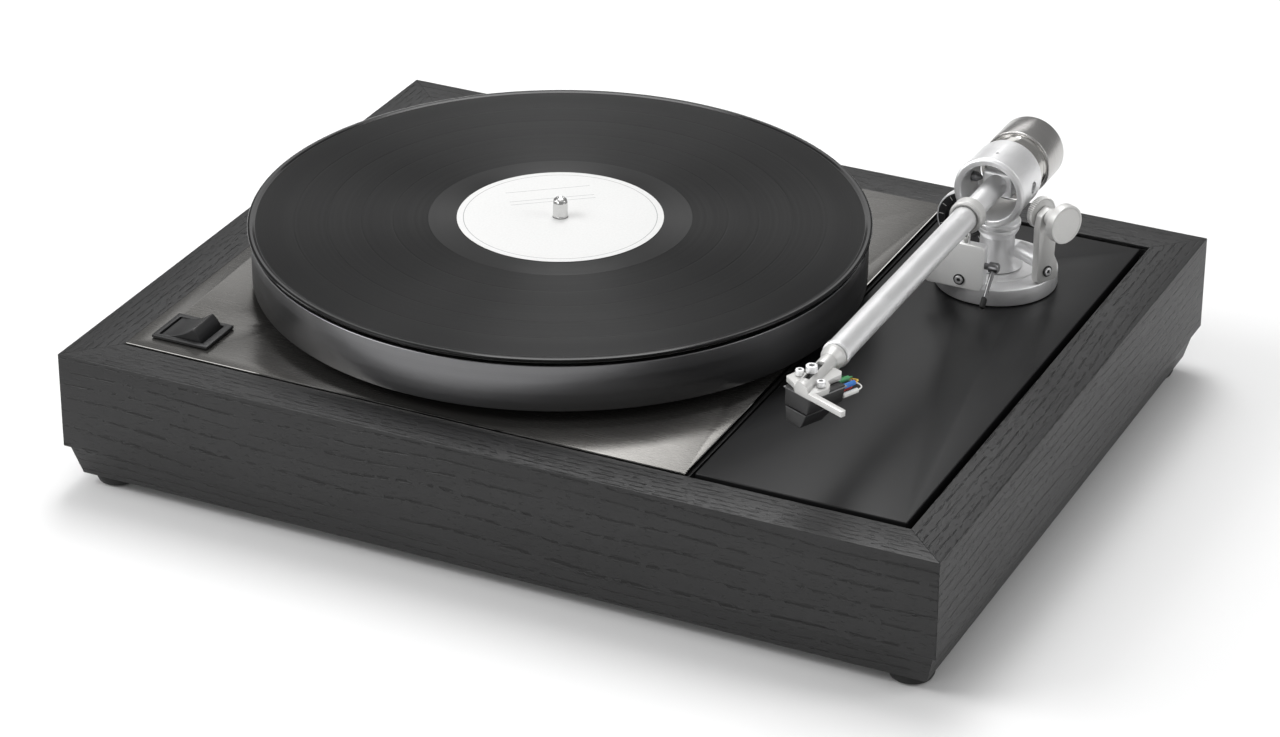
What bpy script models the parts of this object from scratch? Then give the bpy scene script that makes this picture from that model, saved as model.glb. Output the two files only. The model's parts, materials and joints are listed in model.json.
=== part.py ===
"""A belt-drive record player with a suspended sub-chassis and a nine-inch tonearm.

Units are metres, +Z is up and the origin is the centre of the footprint at the floor. Heights are
counted from the deck, which is the top face of the plinth. Every sub-part is one object, in the
collection record_player; the shapes that only cut others are in the collection cutters.
"""

import math

import bmesh
import bpy
from mathutils import Matrix, Vector

MM = 0.001
GAP = 0.3 * MM
EPS = 0.5 * MM

# Plinth: four mitred rails with a step and a tapered foot all round.
PLINTH_W = 445 * MM
PLINTH_D = 356 * MM
RAIL_T = 22.5 * MM
WALL_H = 49 * MM
STEP_IN = 2 * MM
SKIRT_H = 16 * MM
SKIRT_IN = 6.2 * MM
FOOT_H = 6 * MM
FOOT_R = 10.5 * MM
FOOT_X = 204.5 * MM
FOOT_Y = 159.5 * MM
DECK = WALL_H + SKIRT_H + FOOT_H
PLINTH_BOTTOM = FOOT_H
OPEN_X = PLINTH_W / 2 - RAIL_T
OPEN_Y = PLINTH_D / 2 - RAIL_T

# Deck plates.
TOP_PLATE_T = 2 * MM
TOP_PLATE_PROUD = 0.6 * MM
TOP_PLATE_RIGHT = 91.3 * MM
ARMBOARD_LEFT = 94.5 * MM
ARMBOARD_RIGHT = 196.5 * MM
ARMBOARD_Y = 151.6 * MM
ARMBOARD_T = 10 * MM

# Turntable, centred on the main bearing.
PLATTER_X = -46.1 * MM
PLATTER_Y = -3.0 * MM
PLATTER_R = 149.2 * MM
PLATTER_LOW = DECK + 6.2 * MM
PLATTER_TOP = DECK + 29.5 * MM
RIM_INNER_R = 130 * MM
HUB_TOP = DECK + 16.7 * MM
HUB_LOW = DECK + 2.8 * MM
HUB_R = 81 * MM
MAT_R = 147 * MM
RECORD_R = 150.8 * MM
RECORD_LOW = DECK + 32.2 * MM
RECORD_TOP = DECK + 33.8 * MM
LABEL_R = 50 * MM
LABEL_T = 0.15 * MM
SPINDLE_R = 3.6 * MM
SPINDLE_TOP = DECK + 43.6 * MM
SHAFT_R = 5 * MM
BEARING_R = 14 * MM
BEARING_LOW = DECK - 52 * MM

# Motor and belt.
MOTOR_X = PLATTER_X - 81.3 * MM
MOTOR_Y = PLATTER_Y + 81.3 * MM
PULLEY_R = 10.8 * MM
BELT_LOW = DECK + 5 * MM
BELT_H = 4.8 * MM
BELT_T = 1 * MM

# Suspension: three springs under the sub-chassis.
CHASSIS_Z = DECK - 24 * MM
CHASSIS_T = 2.5 * MM
SPRING_AT = {
    "front": (-140 * MM, -105 * MM),
    "rear": (-60 * MM, 118 * MM),
    "right": (72 * MM, -25 * MM),
}
SPRING_R = 8.5 * MM
SPRING_WIRE_R = 0.9 * MM
SPRING_TURNS = 4
SPRING_LOW = DECK - 48 * MM
SPRING_TOP = CHASSIS_Z - 1.8 * MM

# Tonearm: the gimbal centre is over the middle of the arm base.
PIVOT_X = 144.7 * MM
PIVOT_Y = 88.3 * MM
ARM_Z = DECK + 53 * MM
BASE_R = 30 * MM
BASE_TOP = DECK + 9.1 * MM
TUBE_R = 6.1 * MM
TUBE_BORE_R = 5 * MM
TUBE_FRONT = -113.7 * MM
TUBE_REAR = 42 * MM
REAR_TUBE_R = 5.4 * MM
HOUSING_R = 17.9 * MM
HOUSING_BORE_R = 14.2 * MM
HOUSING_FRONT = 72.5 * MM
HOUSING_REAR = 98.5 * MM
WEIGHT_FRONT = 101.5 * MM
WEIGHT_REAR = 131 * MM
WEIGHT_R = 16.7 * MM
WEIGHT_NECK_R = 15 * MM
WEIGHT_BORE_R = 5.8 * MM

# Headshell: a plate turned by the offset angle, about the middle of the cartridge screws.
HEAD_X = 144.7 * MM
HEAD_Y = -141.3 * MM
OFFSET = math.radians(25)
NECK_R = 4 * MM
NECK_FRONT = -155 * MM
PLATE_LOW = DECK + 50.6 * MM
PLATE_TOP = DECK + 53.2 * MM
STYLUS_Z = DECK + 34.3 * MM
BODY_LOW = DECK + 41.6 * MM

# Lift, lever, bias dial and side bracket around the arm base.
LIFT_ARC_R = 28 * MM
LIFT_BAR_LOW = DECK + 42.6 * MM
LIFT_BAR_TOP = DECK + 44.4 * MM
LIFT_BLOCK = ((126 * MM, 58 * MM), (148.5 * MM, 66 * MM))
LIFT_BLOCK_TOP = DECK + 30 * MM
LIFT_POST = (138.5 * MM, 62 * MM)
LEVER_PIN = (LIFT_BLOCK[1][0], 62 * MM, DECK + 20 * MM)
SIDE_ANGLE = math.radians(27)
SIDE_OUT = 28 * MM
SIDE_ALONG = 5.4 * MM
SCREW_AXIS_Z = DECK + 44 * MM
SCREW_START = 22 * MM
DIAL_AT = (123.7 * MM, 100 * MM, DECK + 24.3 * MM)
DIAL_R = 14.4 * MM

# Switch.
SWITCH_X = -176.5 * MM
SWITCH_Y = -132.9 * MM
BEZEL_W = 30.2 * MM
BEZEL_D = 25.2 * MM
BEZEL_TOP = DECK + 2.5 * MM
ROCKER_R = 11.5 * MM
ROCKER_W = 19 * MM
ROCKER_Z = DECK - 1.4 * MM
ROCKER_TILT = math.radians(19.8)

# Rear panel, set in a window of the back rail.
PANEL_X = 120 * MM
PANEL_W = 120 * MM
PANEL_H = 30 * MM
PANEL_Z = DECK - 36 * MM
PANEL_FACE_Y = PLINTH_D / 2 - 6 * MM


def clear_scene():
    for obj in list(bpy.data.objects):
        bpy.data.objects.remove(obj, do_unlink=True)


def new_collection(name):
    made = bpy.data.collections.new(name)
    bpy.context.scene.collection.children.link(made)
    return made


clear_scene()
PARTS = new_collection("record_player")
CUTTERS = new_collection("cutters")


def material(name, color, roughness, metallic=0.0):
    made = bpy.data.materials.new(name)
    made.use_nodes = True
    shader = made.node_tree.nodes["Principled BSDF"]
    shader.inputs["Base Color"].default_value = (*color, 1)
    shader.inputs["Roughness"].default_value = roughness
    shader.inputs["Metallic"].default_value = metallic
    made.diffuse_color = (*color, 1)
    return made


BLACK_ASH = material("black_ash", (0.045, 0.045, 0.048), 0.45)
BRUSHED_STEEL = material("brushed_steel", (0.36, 0.35, 0.34), 0.32, 1.0)
SATIN_BLACK = material("satin_black", (0.02, 0.02, 0.021), 0.3)
BLACK_PLASTIC = material("black_plastic", (0.03, 0.03, 0.032), 0.4)
RUBBER = material("black_rubber", (0.015, 0.015, 0.015), 0.75)
FELT = material("black_felt", (0.012, 0.012, 0.012), 0.95)
VINYL = material("black_vinyl", (0.012, 0.012, 0.013), 0.22)
PAPER = material("label_paper", (0.86, 0.86, 0.85), 0.7)
PLATTER_METAL = material("machined_alloy", (0.42, 0.42, 0.43), 0.28, 1.0)
SATIN_SILVER = material("satin_silver", (0.75, 0.75, 0.75), 0.35, 1.0)
PEARL_SILVER = material("pearl_silver", (0.82, 0.81, 0.79), 0.45, 0.6)
STAINLESS = material("stainless", (0.5, 0.49, 0.47), 0.2, 1.0)
STEEL = material("bright_steel", (0.6, 0.6, 0.6), 0.25, 1.0)
PRESSED_STEEL = material("black_painted_steel", (0.04, 0.04, 0.04), 0.5)
BOARD_GREEN = material("circuit_board", (0.02, 0.16, 0.06), 0.5)
LEAD_RED = material("lead_red", (0.5, 0.03, 0.02), 0.5)
BRASS = material("brass", (0.72, 0.55, 0.26), 0.3, 1.0)


def to_mesh(obj):
    """A mesh object with the shape that obj has after its modifiers; obj is removed."""
    name = obj.name
    graph = bpy.context.evaluated_depsgraph_get()
    graph.update()
    mesh = bpy.data.meshes.new_from_object(obj.evaluated_get(graph))
    made = bpy.data.objects.new(name, mesh)
    made.matrix_world = obj.matrix_world.copy()
    welded = bmesh.new()
    welded.from_mesh(mesh)
    bmesh.ops.remove_doubles(welded, verts=welded.verts, dist=0.00001)
    welded.to_mesh(mesh)
    welded.free()
    bpy.data.objects.remove(obj, do_unlink=True)
    made.name = name
    bpy.context.scene.collection.objects.link(made)
    return made


def finish(obj, paint):
    """Put a finished sub-part in the parts collection with its material and shading."""
    for user in list(obj.users_collection):
        user.objects.unlink(obj)
    PARTS.objects.link(obj)
    obj.data.materials.clear()
    obj.data.materials.append(paint)
    obj.data.shade_smooth()
    obj.data.set_sharp_from_angle(angle=math.radians(35))
    return obj


def as_cutter(obj):
    for user in list(obj.users_collection):
        user.objects.unlink(obj)
    CUTTERS.objects.link(obj)
    obj.hide_render = True
    obj.display_type = "WIRE"
    return obj


def mesh_object(name, shape):
    mesh = bpy.data.meshes.new(name)
    shape.to_mesh(mesh)
    shape.free()
    made = bpy.data.objects.new(name, mesh)
    bpy.context.scene.collection.objects.link(made)
    return made


def box(name, low, high):
    shape = bmesh.new()
    bmesh.ops.create_cube(shape, size=1)
    size = Vector(high) - Vector(low)
    bmesh.ops.scale(shape, vec=size, verts=shape.verts)
    made = mesh_object(name, shape)
    made.location = (Vector(high) + Vector(low)) / 2
    return made


def towards(direction):
    """The rotation that turns local +Z to a direction."""
    return Vector(direction).to_track_quat("Z", "Y").to_matrix().to_4x4()


def cylinder(name, radius, length, at, direction=(0, 0, 1), sides=32, radius_end=None):
    """A cylinder or cone from the point at, along a direction."""
    shape = bmesh.new()
    end = radius if radius_end is None else radius_end
    bmesh.ops.create_cone(
        shape, cap_ends=True, segments=sides, radius1=radius, radius2=end, depth=length
    )
    bmesh.ops.translate(shape, vec=(0, 0, length / 2), verts=shape.verts)
    made = mesh_object(name, shape)
    made.matrix_world = Matrix.Translation(at) @ towards(direction)
    return made


def turned(name, profile, at=(0, 0, 0), direction=(0, 0, 1), sides=48):
    """A turned piece. The profile is (radius, height) points down the outer side; it is closed
    into a ring unless it starts and ends on the axis."""
    shape = bmesh.new()
    points = [shape.verts.new((r, 0, h)) for r, h in profile]
    for a, b in zip(points, points[1:]):
        shape.edges.new((a, b))
    if profile[0][0] > 0:
        shape.edges.new((points[-1], points[0]))
    made = mesh_object(name, shape)
    made.matrix_world = Matrix.Translation(at) @ towards(direction)
    screw = made.modifiers.new("turn", "SCREW")
    screw.axis = "Z"
    screw.steps = sides
    screw.render_steps = sides
    screw.use_merge_vertices = True
    screw.merge_threshold = 0.00001
    return to_mesh(made)


def plate(name, outline, low, high):
    """A flat plate with an outline in X and Y, from height low to high."""
    curve = bpy.data.curves.new(name, "CURVE")
    curve.dimensions = "2D"
    curve.fill_mode = "BOTH"
    curve.extrude = (high - low) / 2
    line = curve.splines.new("POLY")
    line.points.add(len(outline) - 1)
    for point, (x, y) in zip(line.points, outline):
        point.co = (x, y, 0, 1)
    line.use_cyclic_u = True
    made = bpy.data.objects.new(name, curve)
    bpy.context.scene.collection.objects.link(made)
    made.location = (0, 0, (low + high) / 2)
    bpy.context.view_layer.update()
    return to_mesh(made)


def wire(name, points, radius):
    """A round wire through the points, as a mesh with filled ends."""
    curve = bpy.data.curves.new(name, "CURVE")
    curve.dimensions = "3D"
    curve.bevel_depth = radius
    curve.bevel_resolution = 2
    curve.use_fill_caps = True
    line = curve.splines.new("POLY")
    line.points.add(len(points) - 1)
    for point, at in zip(line.points, points):
        point.co = (*at, 1)
    made = bpy.data.objects.new(name, curve)
    bpy.context.scene.collection.objects.link(made)
    bpy.context.view_layer.update()
    return to_mesh(made)


def place(obj, matrix):
    """Move a shape that was made about the origin."""
    obj.matrix_world = matrix @ obj.matrix_world
    return obj


def bevel(obj, width, segments=1, angle=40):
    made = obj.modifiers.new("bevel", "BEVEL")
    made.width = width
    made.segments = segments
    made.limit_method = "ANGLE"
    made.angle_limit = math.radians(angle)
    return obj


def boolean(obj, other, operation):
    made = obj.modifiers.new(operation.lower(), "BOOLEAN")
    made.operation = operation
    made.solver = "EXACT"
    made.object = as_cutter(other)
    return obj


def cut(obj, *others):
    for other in others:
        boolean(obj, other, "DIFFERENCE")
    return obj


def join(obj, *others):
    for other in others:
        boolean(obj, other, "UNION")
    return obj


def axis_empty(name, at, direction=(0, 0, 1)):
    """An empty whose +Z lies on a joint's axis; the pieces that move are its children."""
    made = bpy.data.objects.new(name, None)
    made.empty_display_size = 0.02
    made.matrix_world = Matrix.Translation(at) @ towards(direction)
    PARTS.objects.link(made)
    return made


def ride(axis, *pieces):
    """Make pieces the children of an axis empty, where they stand."""
    bpy.context.view_layer.update()
    for piece in pieces:
        world = piece.matrix_world.copy()
        piece.parent = axis
        piece.matrix_parent_inverse = axis.matrix_world.inverted()
        piece.matrix_world = world


def socket_screw(at, direction, head_r, head_h, sides=20):
    """A cap screw's head with a hexagon socket, standing on the point at."""
    head = cylinder("head", head_r, head_h, at, direction, sides)
    depth = head_h * 0.6
    top = Vector(at) + Vector(direction).normalized() * (head_h - depth)
    return to_mesh(cut(head, cylinder("hex", head_r * 0.52, depth + EPS, top, direction, 6)))


def make_rail(name, side, along, across):
    """One plinth rail, mitred at 45 degrees at both ends. Side 0 is the front, and the sides go
    round anticlockwise; along is half the rail's length, and across how far out its face is."""
    wall_low = DECK - WALL_H
    section = [
        (0, DECK),
        (0, wall_low),
        (STEP_IN, wall_low),
        (SKIRT_IN, PLINTH_BOTTOM),
        (RAIL_T, PLINTH_BOTTOM),
        (RAIL_T, DECK),
    ]
    rail = plate(name, section, -along, along)
    upright = Matrix.Rotation(math.radians(90), 4, "Z") @ Matrix.Rotation(math.radians(90), 4, "X")
    place(rail, Matrix.Translation((0, -across, 0)) @ upright)
    reach, half_width, height = 0.06, 0.03, DECK + 0.01
    for end in (-1, 1):
        inward = Vector((-end, 1, 0)).normalized()
        outward = Vector((end, 1, 0)).normalized()
        corner = Vector((end * along, -across, height / 2))
        block = box("mitre", (-reach, -half_width, -height / 2), (reach, half_width, height / 2))
        middle = corner + inward * RAIL_T / 2 + outward * (half_width - GAP / 2)
        frame = Matrix((inward, outward, (0, 0, 1))).transposed().to_4x4()
        block.matrix_world = Matrix.Translation(middle) @ frame
        cut(rail, block)
    turn = Matrix.Rotation(side * math.radians(90), 4, "Z")
    bpy.context.view_layer.update()
    for obj in (rail, *(modifier.object for modifier in rail.modifiers)):
        place(obj, turn)
    return rail


def make_rails():
    """Four rails; the back one has a window for the rear panel."""
    half_x, half_y = PLINTH_W / 2, PLINTH_D / 2
    front = make_rail("plinth_front_rail", 0, half_x, half_y)
    right = make_rail("plinth_right_rail", 1, half_y, half_x)
    back = make_rail("plinth_back_rail", 2, half_x, half_y)
    left = make_rail("plinth_left_rail", 3, half_y, half_x)
    window = box(
        "panel_window",
        (PANEL_X - PANEL_W / 2, OPEN_Y - 0.01, PANEL_Z - PANEL_H / 2),
        (PANEL_X + PANEL_W / 2, PLINTH_D / 2 + 0.01, PANEL_Z + PANEL_H / 2),
    )
    cut(back, window)
    for rail in (front, right, back, left):
        finish(rail, BLACK_ASH)


def make_plinth_inside():
    """The steel brace between the deck plates, and the baseboard."""
    brace = box(
        "cross_brace",
        (TOP_PLATE_RIGHT - 14 * MM, -OPEN_Y + GAP, DECK - 9 * MM),
        (TOP_PLATE_RIGHT + 1 * MM, OPEN_Y - GAP, DECK - 1.8 * MM),
    )
    slot = box(
        "brace_channel",
        (TOP_PLATE_RIGHT - 11.5 * MM, -OPEN_Y - EPS, DECK - 10 * MM),
        (TOP_PLATE_RIGHT - 1.5 * MM, OPEN_Y + EPS, DECK - 4.2 * MM),
    )
    finish(cut(brace, slot), PRESSED_STEEL)
    base = box(
        "baseboard",
        (-OPEN_X + GAP, -OPEN_Y + GAP, PLINTH_BOTTOM),
        (OPEN_X - GAP, OPEN_Y - GAP, PLINTH_BOTTOM + 3.5 * MM),
    )
    finish(base, PRESSED_STEEL)


def make_feet():
    profile = [
        (0, FOOT_H - GAP),
        (FOOT_R, FOOT_H - GAP),
        (FOOT_R, 2.6 * MM),
        (FOOT_R - 0.8 * MM, 1 * MM),
        (FOOT_R - 2.4 * MM, 0),
        (0, 0),
    ]
    for side, x in (("left", -FOOT_X), ("right", FOOT_X)):
        for end, y in (("front", -FOOT_Y), ("rear", FOOT_Y)):
            finish(turned(f"foot_{end}_{side}", profile, (x, y, 0), sides=20), RUBBER)


def make_top_plate():
    low = DECK + TOP_PLATE_PROUD - TOP_PLATE_T
    steel = box(
        "top_plate",
        (-OPEN_X + 0.5 * MM, -OPEN_Y + GAP, low),
        (TOP_PLATE_RIGHT, OPEN_Y - 0.6 * MM, low + TOP_PLATE_T),
    )
    well = (PLATTER_X, PLATTER_Y, low - EPS)
    motor = (MOTOR_X, MOTOR_Y, low - EPS)
    reach = TOP_PLATE_T + 2 * EPS
    cut(
        steel,
        cylinder("bearing_well", 21 * MM, reach, well, sides=48),
        cylinder("motor_hole", 8 * MM, reach, motor, sides=24),
        box(
            "switch_hole",
            (SWITCH_X - ROCKER_R - 1.6 * MM, SWITCH_Y - ROCKER_W / 2 - 1.6 * MM, low - EPS),
            (SWITCH_X + ROCKER_R + 1.6 * MM, SWITCH_Y + ROCKER_W / 2 + 1.6 * MM, low + reach),
        ),
    )
    for x, y in SPRING_AT.values():
        cut(steel, cylinder("bolt_hole", 2.9 * MM, reach, (x, y, low - EPS), sides=16))
    finish(steel, BRUSHED_STEEL)


def make_switch():
    housing = box(
        "switch_housing",
        (SWITCH_X - 14.4 * MM, SWITCH_Y - BEZEL_D / 2, DECK + TOP_PLATE_PROUD + GAP),
        (SWITCH_X - 14.4 * MM + BEZEL_W, SWITCH_Y + BEZEL_D / 2, BEZEL_TOP),
    )
    bevel(housing, 0.35 * MM)
    wall = 1.3 * MM
    body = box(
        "switch_body",
        (SWITCH_X - ROCKER_R - wall, SWITCH_Y - ROCKER_W / 2 - wall, DECK - 17 * MM),
        (SWITCH_X + ROCKER_R + wall, SWITCH_Y + ROCKER_W / 2 + wall, DECK + 1.5 * MM),
    )
    well = box(
        "switch_well",
        (SWITCH_X - ROCKER_R - GAP, SWITCH_Y - ROCKER_W / 2 - GAP, DECK - 14 * MM),
        (SWITCH_X + ROCKER_R + GAP, SWITCH_Y + ROCKER_W / 2 + GAP, DECK + 0.01),
    )
    finish(cut(join(housing, body), well), BLACK_PLASTIC)
    chord, height = 9.14 * MM, 6.94 * MM
    sag = 1.6 * MM
    outline = [(-chord, height)]
    outline += [
        (chord * t, height - sag * (1 - t * t)) for t in (-0.75, -0.5, -0.25, 0, 0.25, 0.5, 0.75)
    ]
    start = math.atan2(height, chord)
    sweep = math.pi + 2 * start
    steps = 18
    outline += [
        (ROCKER_R * math.cos(start - sweep * i / steps), ROCKER_R * math.sin(start - sweep * i / steps))
        for i in range(steps)
    ]
    rocker = plate("switch_rocker", outline, -ROCKER_W / 2, ROCKER_W / 2)
    place(rocker, Matrix.Rotation(-ROCKER_TILT, 4, "Y") @ Matrix.Rotation(math.radians(90), 4, "X"))
    place(rocker, Matrix.Translation((SWITCH_X, SWITCH_Y, ROCKER_Z)))
    finish(rocker, BLACK_PLASTIC)
    ride(axis_empty("switch_axis", (SWITCH_X, SWITCH_Y, ROCKER_Z), (0, 1, 0)), rocker)


def make_motor():
    can_top = DECK + TOP_PLATE_PROUD - TOP_PLATE_T - GAP
    at = (MOTOR_X, MOTOR_Y, 0)
    can = turned(
        "motor_can",
        [
            (2.6 * MM, can_top),
            (27 * MM, can_top),
            (27 * MM, can_top - 2 * MM),
            (24 * MM, can_top - 3 * MM),
            (24 * MM, can_top - 38 * MM),
            (22 * MM, can_top - 40 * MM),
            (2.6 * MM, can_top - 40 * MM),
        ],
        at,
        sides=24,
    )
    finish(can, PRESSED_STEEL)
    low, high = DECK + 3.6 * MM, DECK + 11.6 * MM
    pulley = turned(
        "motor_pulley",
        [
            (1 * MM, high),
            (PULLEY_R + 1.2 * MM, high),
            (PULLEY_R + 1.2 * MM, high - 0.9 * MM),
            (PULLEY_R, BELT_LOW + BELT_H + 0.5 * MM),
            (PULLEY_R, BELT_LOW - 0.4 * MM),
            (PULLEY_R + 1.2 * MM, low + 0.6 * MM),
            (PULLEY_R + 1.2 * MM, low),
            (6 * MM, low - 1.2 * MM),
            (1 * MM, low - 1.2 * MM),
        ],
        at,
        sides=24,
    )
    shaft = cylinder("motor_shaft", 2 * MM, 46 * MM, (MOTOR_X, MOTOR_Y, can_top - 36 * MM), sides=12)
    finish(join(pulley, shaft), BRASS)
    ride(axis_empty("motor_axis", (MOTOR_X, MOTOR_Y, low)), pulley)


def belt_outline(offset):
    """The loop round the inner platter and the pulley, at a distance outside both."""
    r_big, r_small = HUB_R + offset, PULLEY_R + offset
    dx, dy = MOTOR_X - PLATTER_X, MOTOR_Y - PLATTER_Y
    facing = math.atan2(dy, dx)
    lean = math.acos((r_big - r_small) / math.hypot(dx, dy))
    points = []
    steps = 56
    for i in range(steps + 1):
        a = facing + lean + (2 * math.pi - 2 * lean) * i / steps
        points.append((PLATTER_X + r_big * math.cos(a), PLATTER_Y + r_big * math.sin(a)))
    steps = 12
    for i in range(steps + 1):
        a = facing - lean + 2 * lean * i / steps
        points.append((MOTOR_X + r_small * math.cos(a), MOTOR_Y + r_small * math.sin(a)))
    return points


def make_belt():
    belt = plate("drive_belt", belt_outline(GAP + BELT_T), BELT_LOW, BELT_LOW + BELT_H)
    inside = plate("belt_inside", belt_outline(GAP), BELT_LOW - EPS, BELT_LOW + BELT_H + EPS)
    finish(cut(belt, inside), RUBBER)


def make_turntable():
    """Inner platter with its spindle, outer platter, mat, record and label."""
    at = (PLATTER_X, PLATTER_Y, 0)
    inner = turned(
        "inner_platter",
        [
            (SHAFT_R + GAP, HUB_TOP),
            (HUB_R, HUB_TOP),
            (HUB_R, HUB_LOW),
            (HUB_R - 8 * MM, HUB_LOW),
            (HUB_R - 8 * MM, HUB_TOP - 6 * MM),
            (17 * MM, HUB_TOP - 6 * MM),
            (17 * MM, HUB_LOW),
            (SHAFT_R + GAP, HUB_LOW),
        ],
        at,
        sides=48,
    )
    finish(inner, PLATTER_METAL)
    spindle = turned(
        "spindle",
        [
            (0, SPINDLE_TOP),
            (2.2 * MM, SPINDLE_TOP - 0.5 * MM),
            (SPINDLE_R, SPINDLE_TOP - 2 * MM),
            (SPINDLE_R, HUB_TOP + 3 * MM),
            (SHAFT_R, HUB_TOP + 1.6 * MM),
            (SHAFT_R, BEARING_LOW + 7 * MM),
            (1.5 * MM, BEARING_LOW + 3.4 * MM),
            (0, BEARING_LOW + 3.4 * MM),
        ],
        at,
        sides=20,
    )
    finish(spindle, STEEL)
    outer = turned(
        "outer_platter",
        [
            (16 * MM, PLATTER_TOP),
            (PLATTER_R - 0.7 * MM, PLATTER_TOP),
            (PLATTER_R, PLATTER_TOP - 0.7 * MM),
            (PLATTER_R, PLATTER_LOW + 0.7 * MM),
            (PLATTER_R - 0.7 * MM, PLATTER_LOW),
            (RIM_INNER_R, PLATTER_LOW),
            (RIM_INNER_R, HUB_TOP + GAP),
            (16 * MM, HUB_TOP + GAP),
        ],
        at,
        sides=72,
    )
    finish(outer, PLATTER_METAL)
    mat = turned(
        "platter_mat",
        [
            (5.6 * MM, RECORD_LOW - GAP),
            (MAT_R, RECORD_LOW - GAP),
            (MAT_R, PLATTER_TOP + GAP),
            (5.6 * MM, PLATTER_TOP + GAP),
        ],
        at,
        sides=56,
    )
    finish(mat, FELT)
    groove_top = RECORD_TOP - 0.5 * MM
    record = turned(
        "record",
        [
            (3.9 * MM, groove_top),
            (RECORD_R - 4 * MM, groove_top),
            (RECORD_R - 0.6 * MM, RECORD_TOP),
            (RECORD_R, RECORD_TOP - 0.75 * MM),
            (RECORD_R - 0.5 * MM, RECORD_LOW),
            (3.9 * MM, RECORD_LOW),
        ],
        at,
        sides=72,
    )
    finish(record, VINYL)
    label_low = groove_top + 0.1 * MM
    label = turned(
        "record_label",
        [
            (3.9 * MM, label_low + LABEL_T),
            (LABEL_R, label_low + LABEL_T),
            (LABEL_R, label_low),
            (3.9 * MM, label_low),
        ],
        at,
        sides=40,
    )
    finish(label, PAPER)
    ride(axis_empty("platter_axis", (*at[:2], HUB_LOW)), inner, spindle, outer, mat, record, label)


def make_bearing():
    at = (PLATTER_X, PLATTER_Y, 0)
    top = DECK - 3 * MM
    housing = turned(
        "bearing_housing",
        [
            (SHAFT_R + 0.4 * MM, top),
            (BEARING_R, top),
            (BEARING_R, CHASSIS_Z + CHASSIS_T + 3.3 * MM),
            (24 * MM, CHASSIS_Z + CHASSIS_T + 3.3 * MM),
            (24 * MM, CHASSIS_Z + CHASSIS_T + GAP),
            (BEARING_R, CHASSIS_Z + CHASSIS_T + GAP),
            (BEARING_R, BEARING_LOW + 1 * MM),
            (BEARING_R - 1 * MM, BEARING_LOW),
            (1.2 * MM, BEARING_LOW),
            (1.2 * MM, BEARING_LOW + 3 * MM),
            (SHAFT_R + 0.4 * MM, BEARING_LOW + 3 * MM),
        ],
        at,
        sides=24,
    )
    finish(housing, BRASS)


def make_chassis():
    """Pressed sub-chassis that carries the bearing and, on an outrigger, the armboard."""
    outline = [
        (-165 * MM, -128 * MM),
        (-112 * MM, -128 * MM),
        (20 * MM, -62 * MM),
        (188 * MM, -62 * MM),
        (188 * MM, 128 * MM),
        (100 * MM, 128 * MM),
        (20 * MM, 62 * MM),
        (-34 * MM, 138 * MM),
        (-88 * MM, 138 * MM),
        (-100 * MM, 60 * MM),
        (-165 * MM, -60 * MM),
    ]
    tray = plate("subchassis", outline, CHASSIS_Z, CHASSIS_Z + CHASSIS_T)
    through = CHASSIS_T + 2 * EPS
    cut(
        tray,
        cylinder("bearing_hole", BEARING_R + GAP, through, (PLATTER_X, PLATTER_Y, CHASSIS_Z - EPS)),
    )
    for x, y in SPRING_AT.values():
        cut(tray, cylinder("grommet_hole", 7 * MM, through, (x, y, CHASSIS_Z - EPS), sides=24))
    for x in (112 * MM, 178 * MM):
        low = (x - 1.2 * MM, -52 * MM, CHASSIS_Z + 1 * MM)
        join(tray, box("rib", low, (x + 1.2 * MM, 122 * MM, DECK - ARMBOARD_T - GAP)))
    finish(tray, PRESSED_STEEL)


def make_suspension():
    """A bolt from the top plate, a spring on its nut and a grommet on the spring, three times."""
    for name, (x, y) in SPRING_AT.items():
        grommet = turned(
            f"suspension_grommet_{name}",
            [
                (4.2 * MM, CHASSIS_Z + CHASSIS_T + 2.3 * MM),
                (9.5 * MM, CHASSIS_Z + CHASSIS_T + 2.3 * MM),
                (9.5 * MM, CHASSIS_Z + CHASSIS_T + GAP),
                (6.7 * MM, CHASSIS_Z + CHASSIS_T + GAP),
                (6.7 * MM, CHASSIS_Z - 0.3 * MM),
                (9.5 * MM, CHASSIS_Z - 0.3 * MM),
                (9.5 * MM, SPRING_TOP + GAP),
                (4.2 * MM, SPRING_TOP + GAP),
            ],
            (x, y, 0),
            sides=14,
        )
        finish(grommet, RUBBER)
        head_low = DECK + TOP_PLATE_PROUD + GAP
        bolt = turned(
            f"suspension_bolt_{name}",
            [
                (0, head_low + 0.8 * MM),
                (3 * MM, head_low + 0.8 * MM),
                (5 * MM, head_low),
                (2.4 * MM, head_low),
                (2.4 * MM, SPRING_LOW - GAP),
                (10.5 * MM, SPRING_LOW - GAP),
                (10.5 * MM, SPRING_LOW - 1.8 * MM),
                (4.6 * MM, SPRING_LOW - 1.8 * MM),
                (4.6 * MM, SPRING_LOW - 4.6 * MM),
                (2.4 * MM, SPRING_LOW - 4.6 * MM),
                (2.4 * MM, SPRING_LOW - 6 * MM),
                (0, SPRING_LOW - 6 * MM),
            ],
            (x, y, 0),
            sides=12,
        )
        finish(bolt, STEEL)
        low, high = SPRING_LOW + SPRING_WIRE_R, SPRING_TOP - SPRING_WIRE_R
        steps = SPRING_TURNS * 9
        points = []
        for i in range(steps + 1):
            a = 2 * math.pi * SPRING_TURNS * i / steps
            rise = low + (high - low) * i / steps
            points.append((x + SPRING_R * math.cos(a), y + SPRING_R * math.sin(a), rise))
        finish(wire(f"suspension_spring_{name}", points, SPRING_WIRE_R), STEEL)


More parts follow.
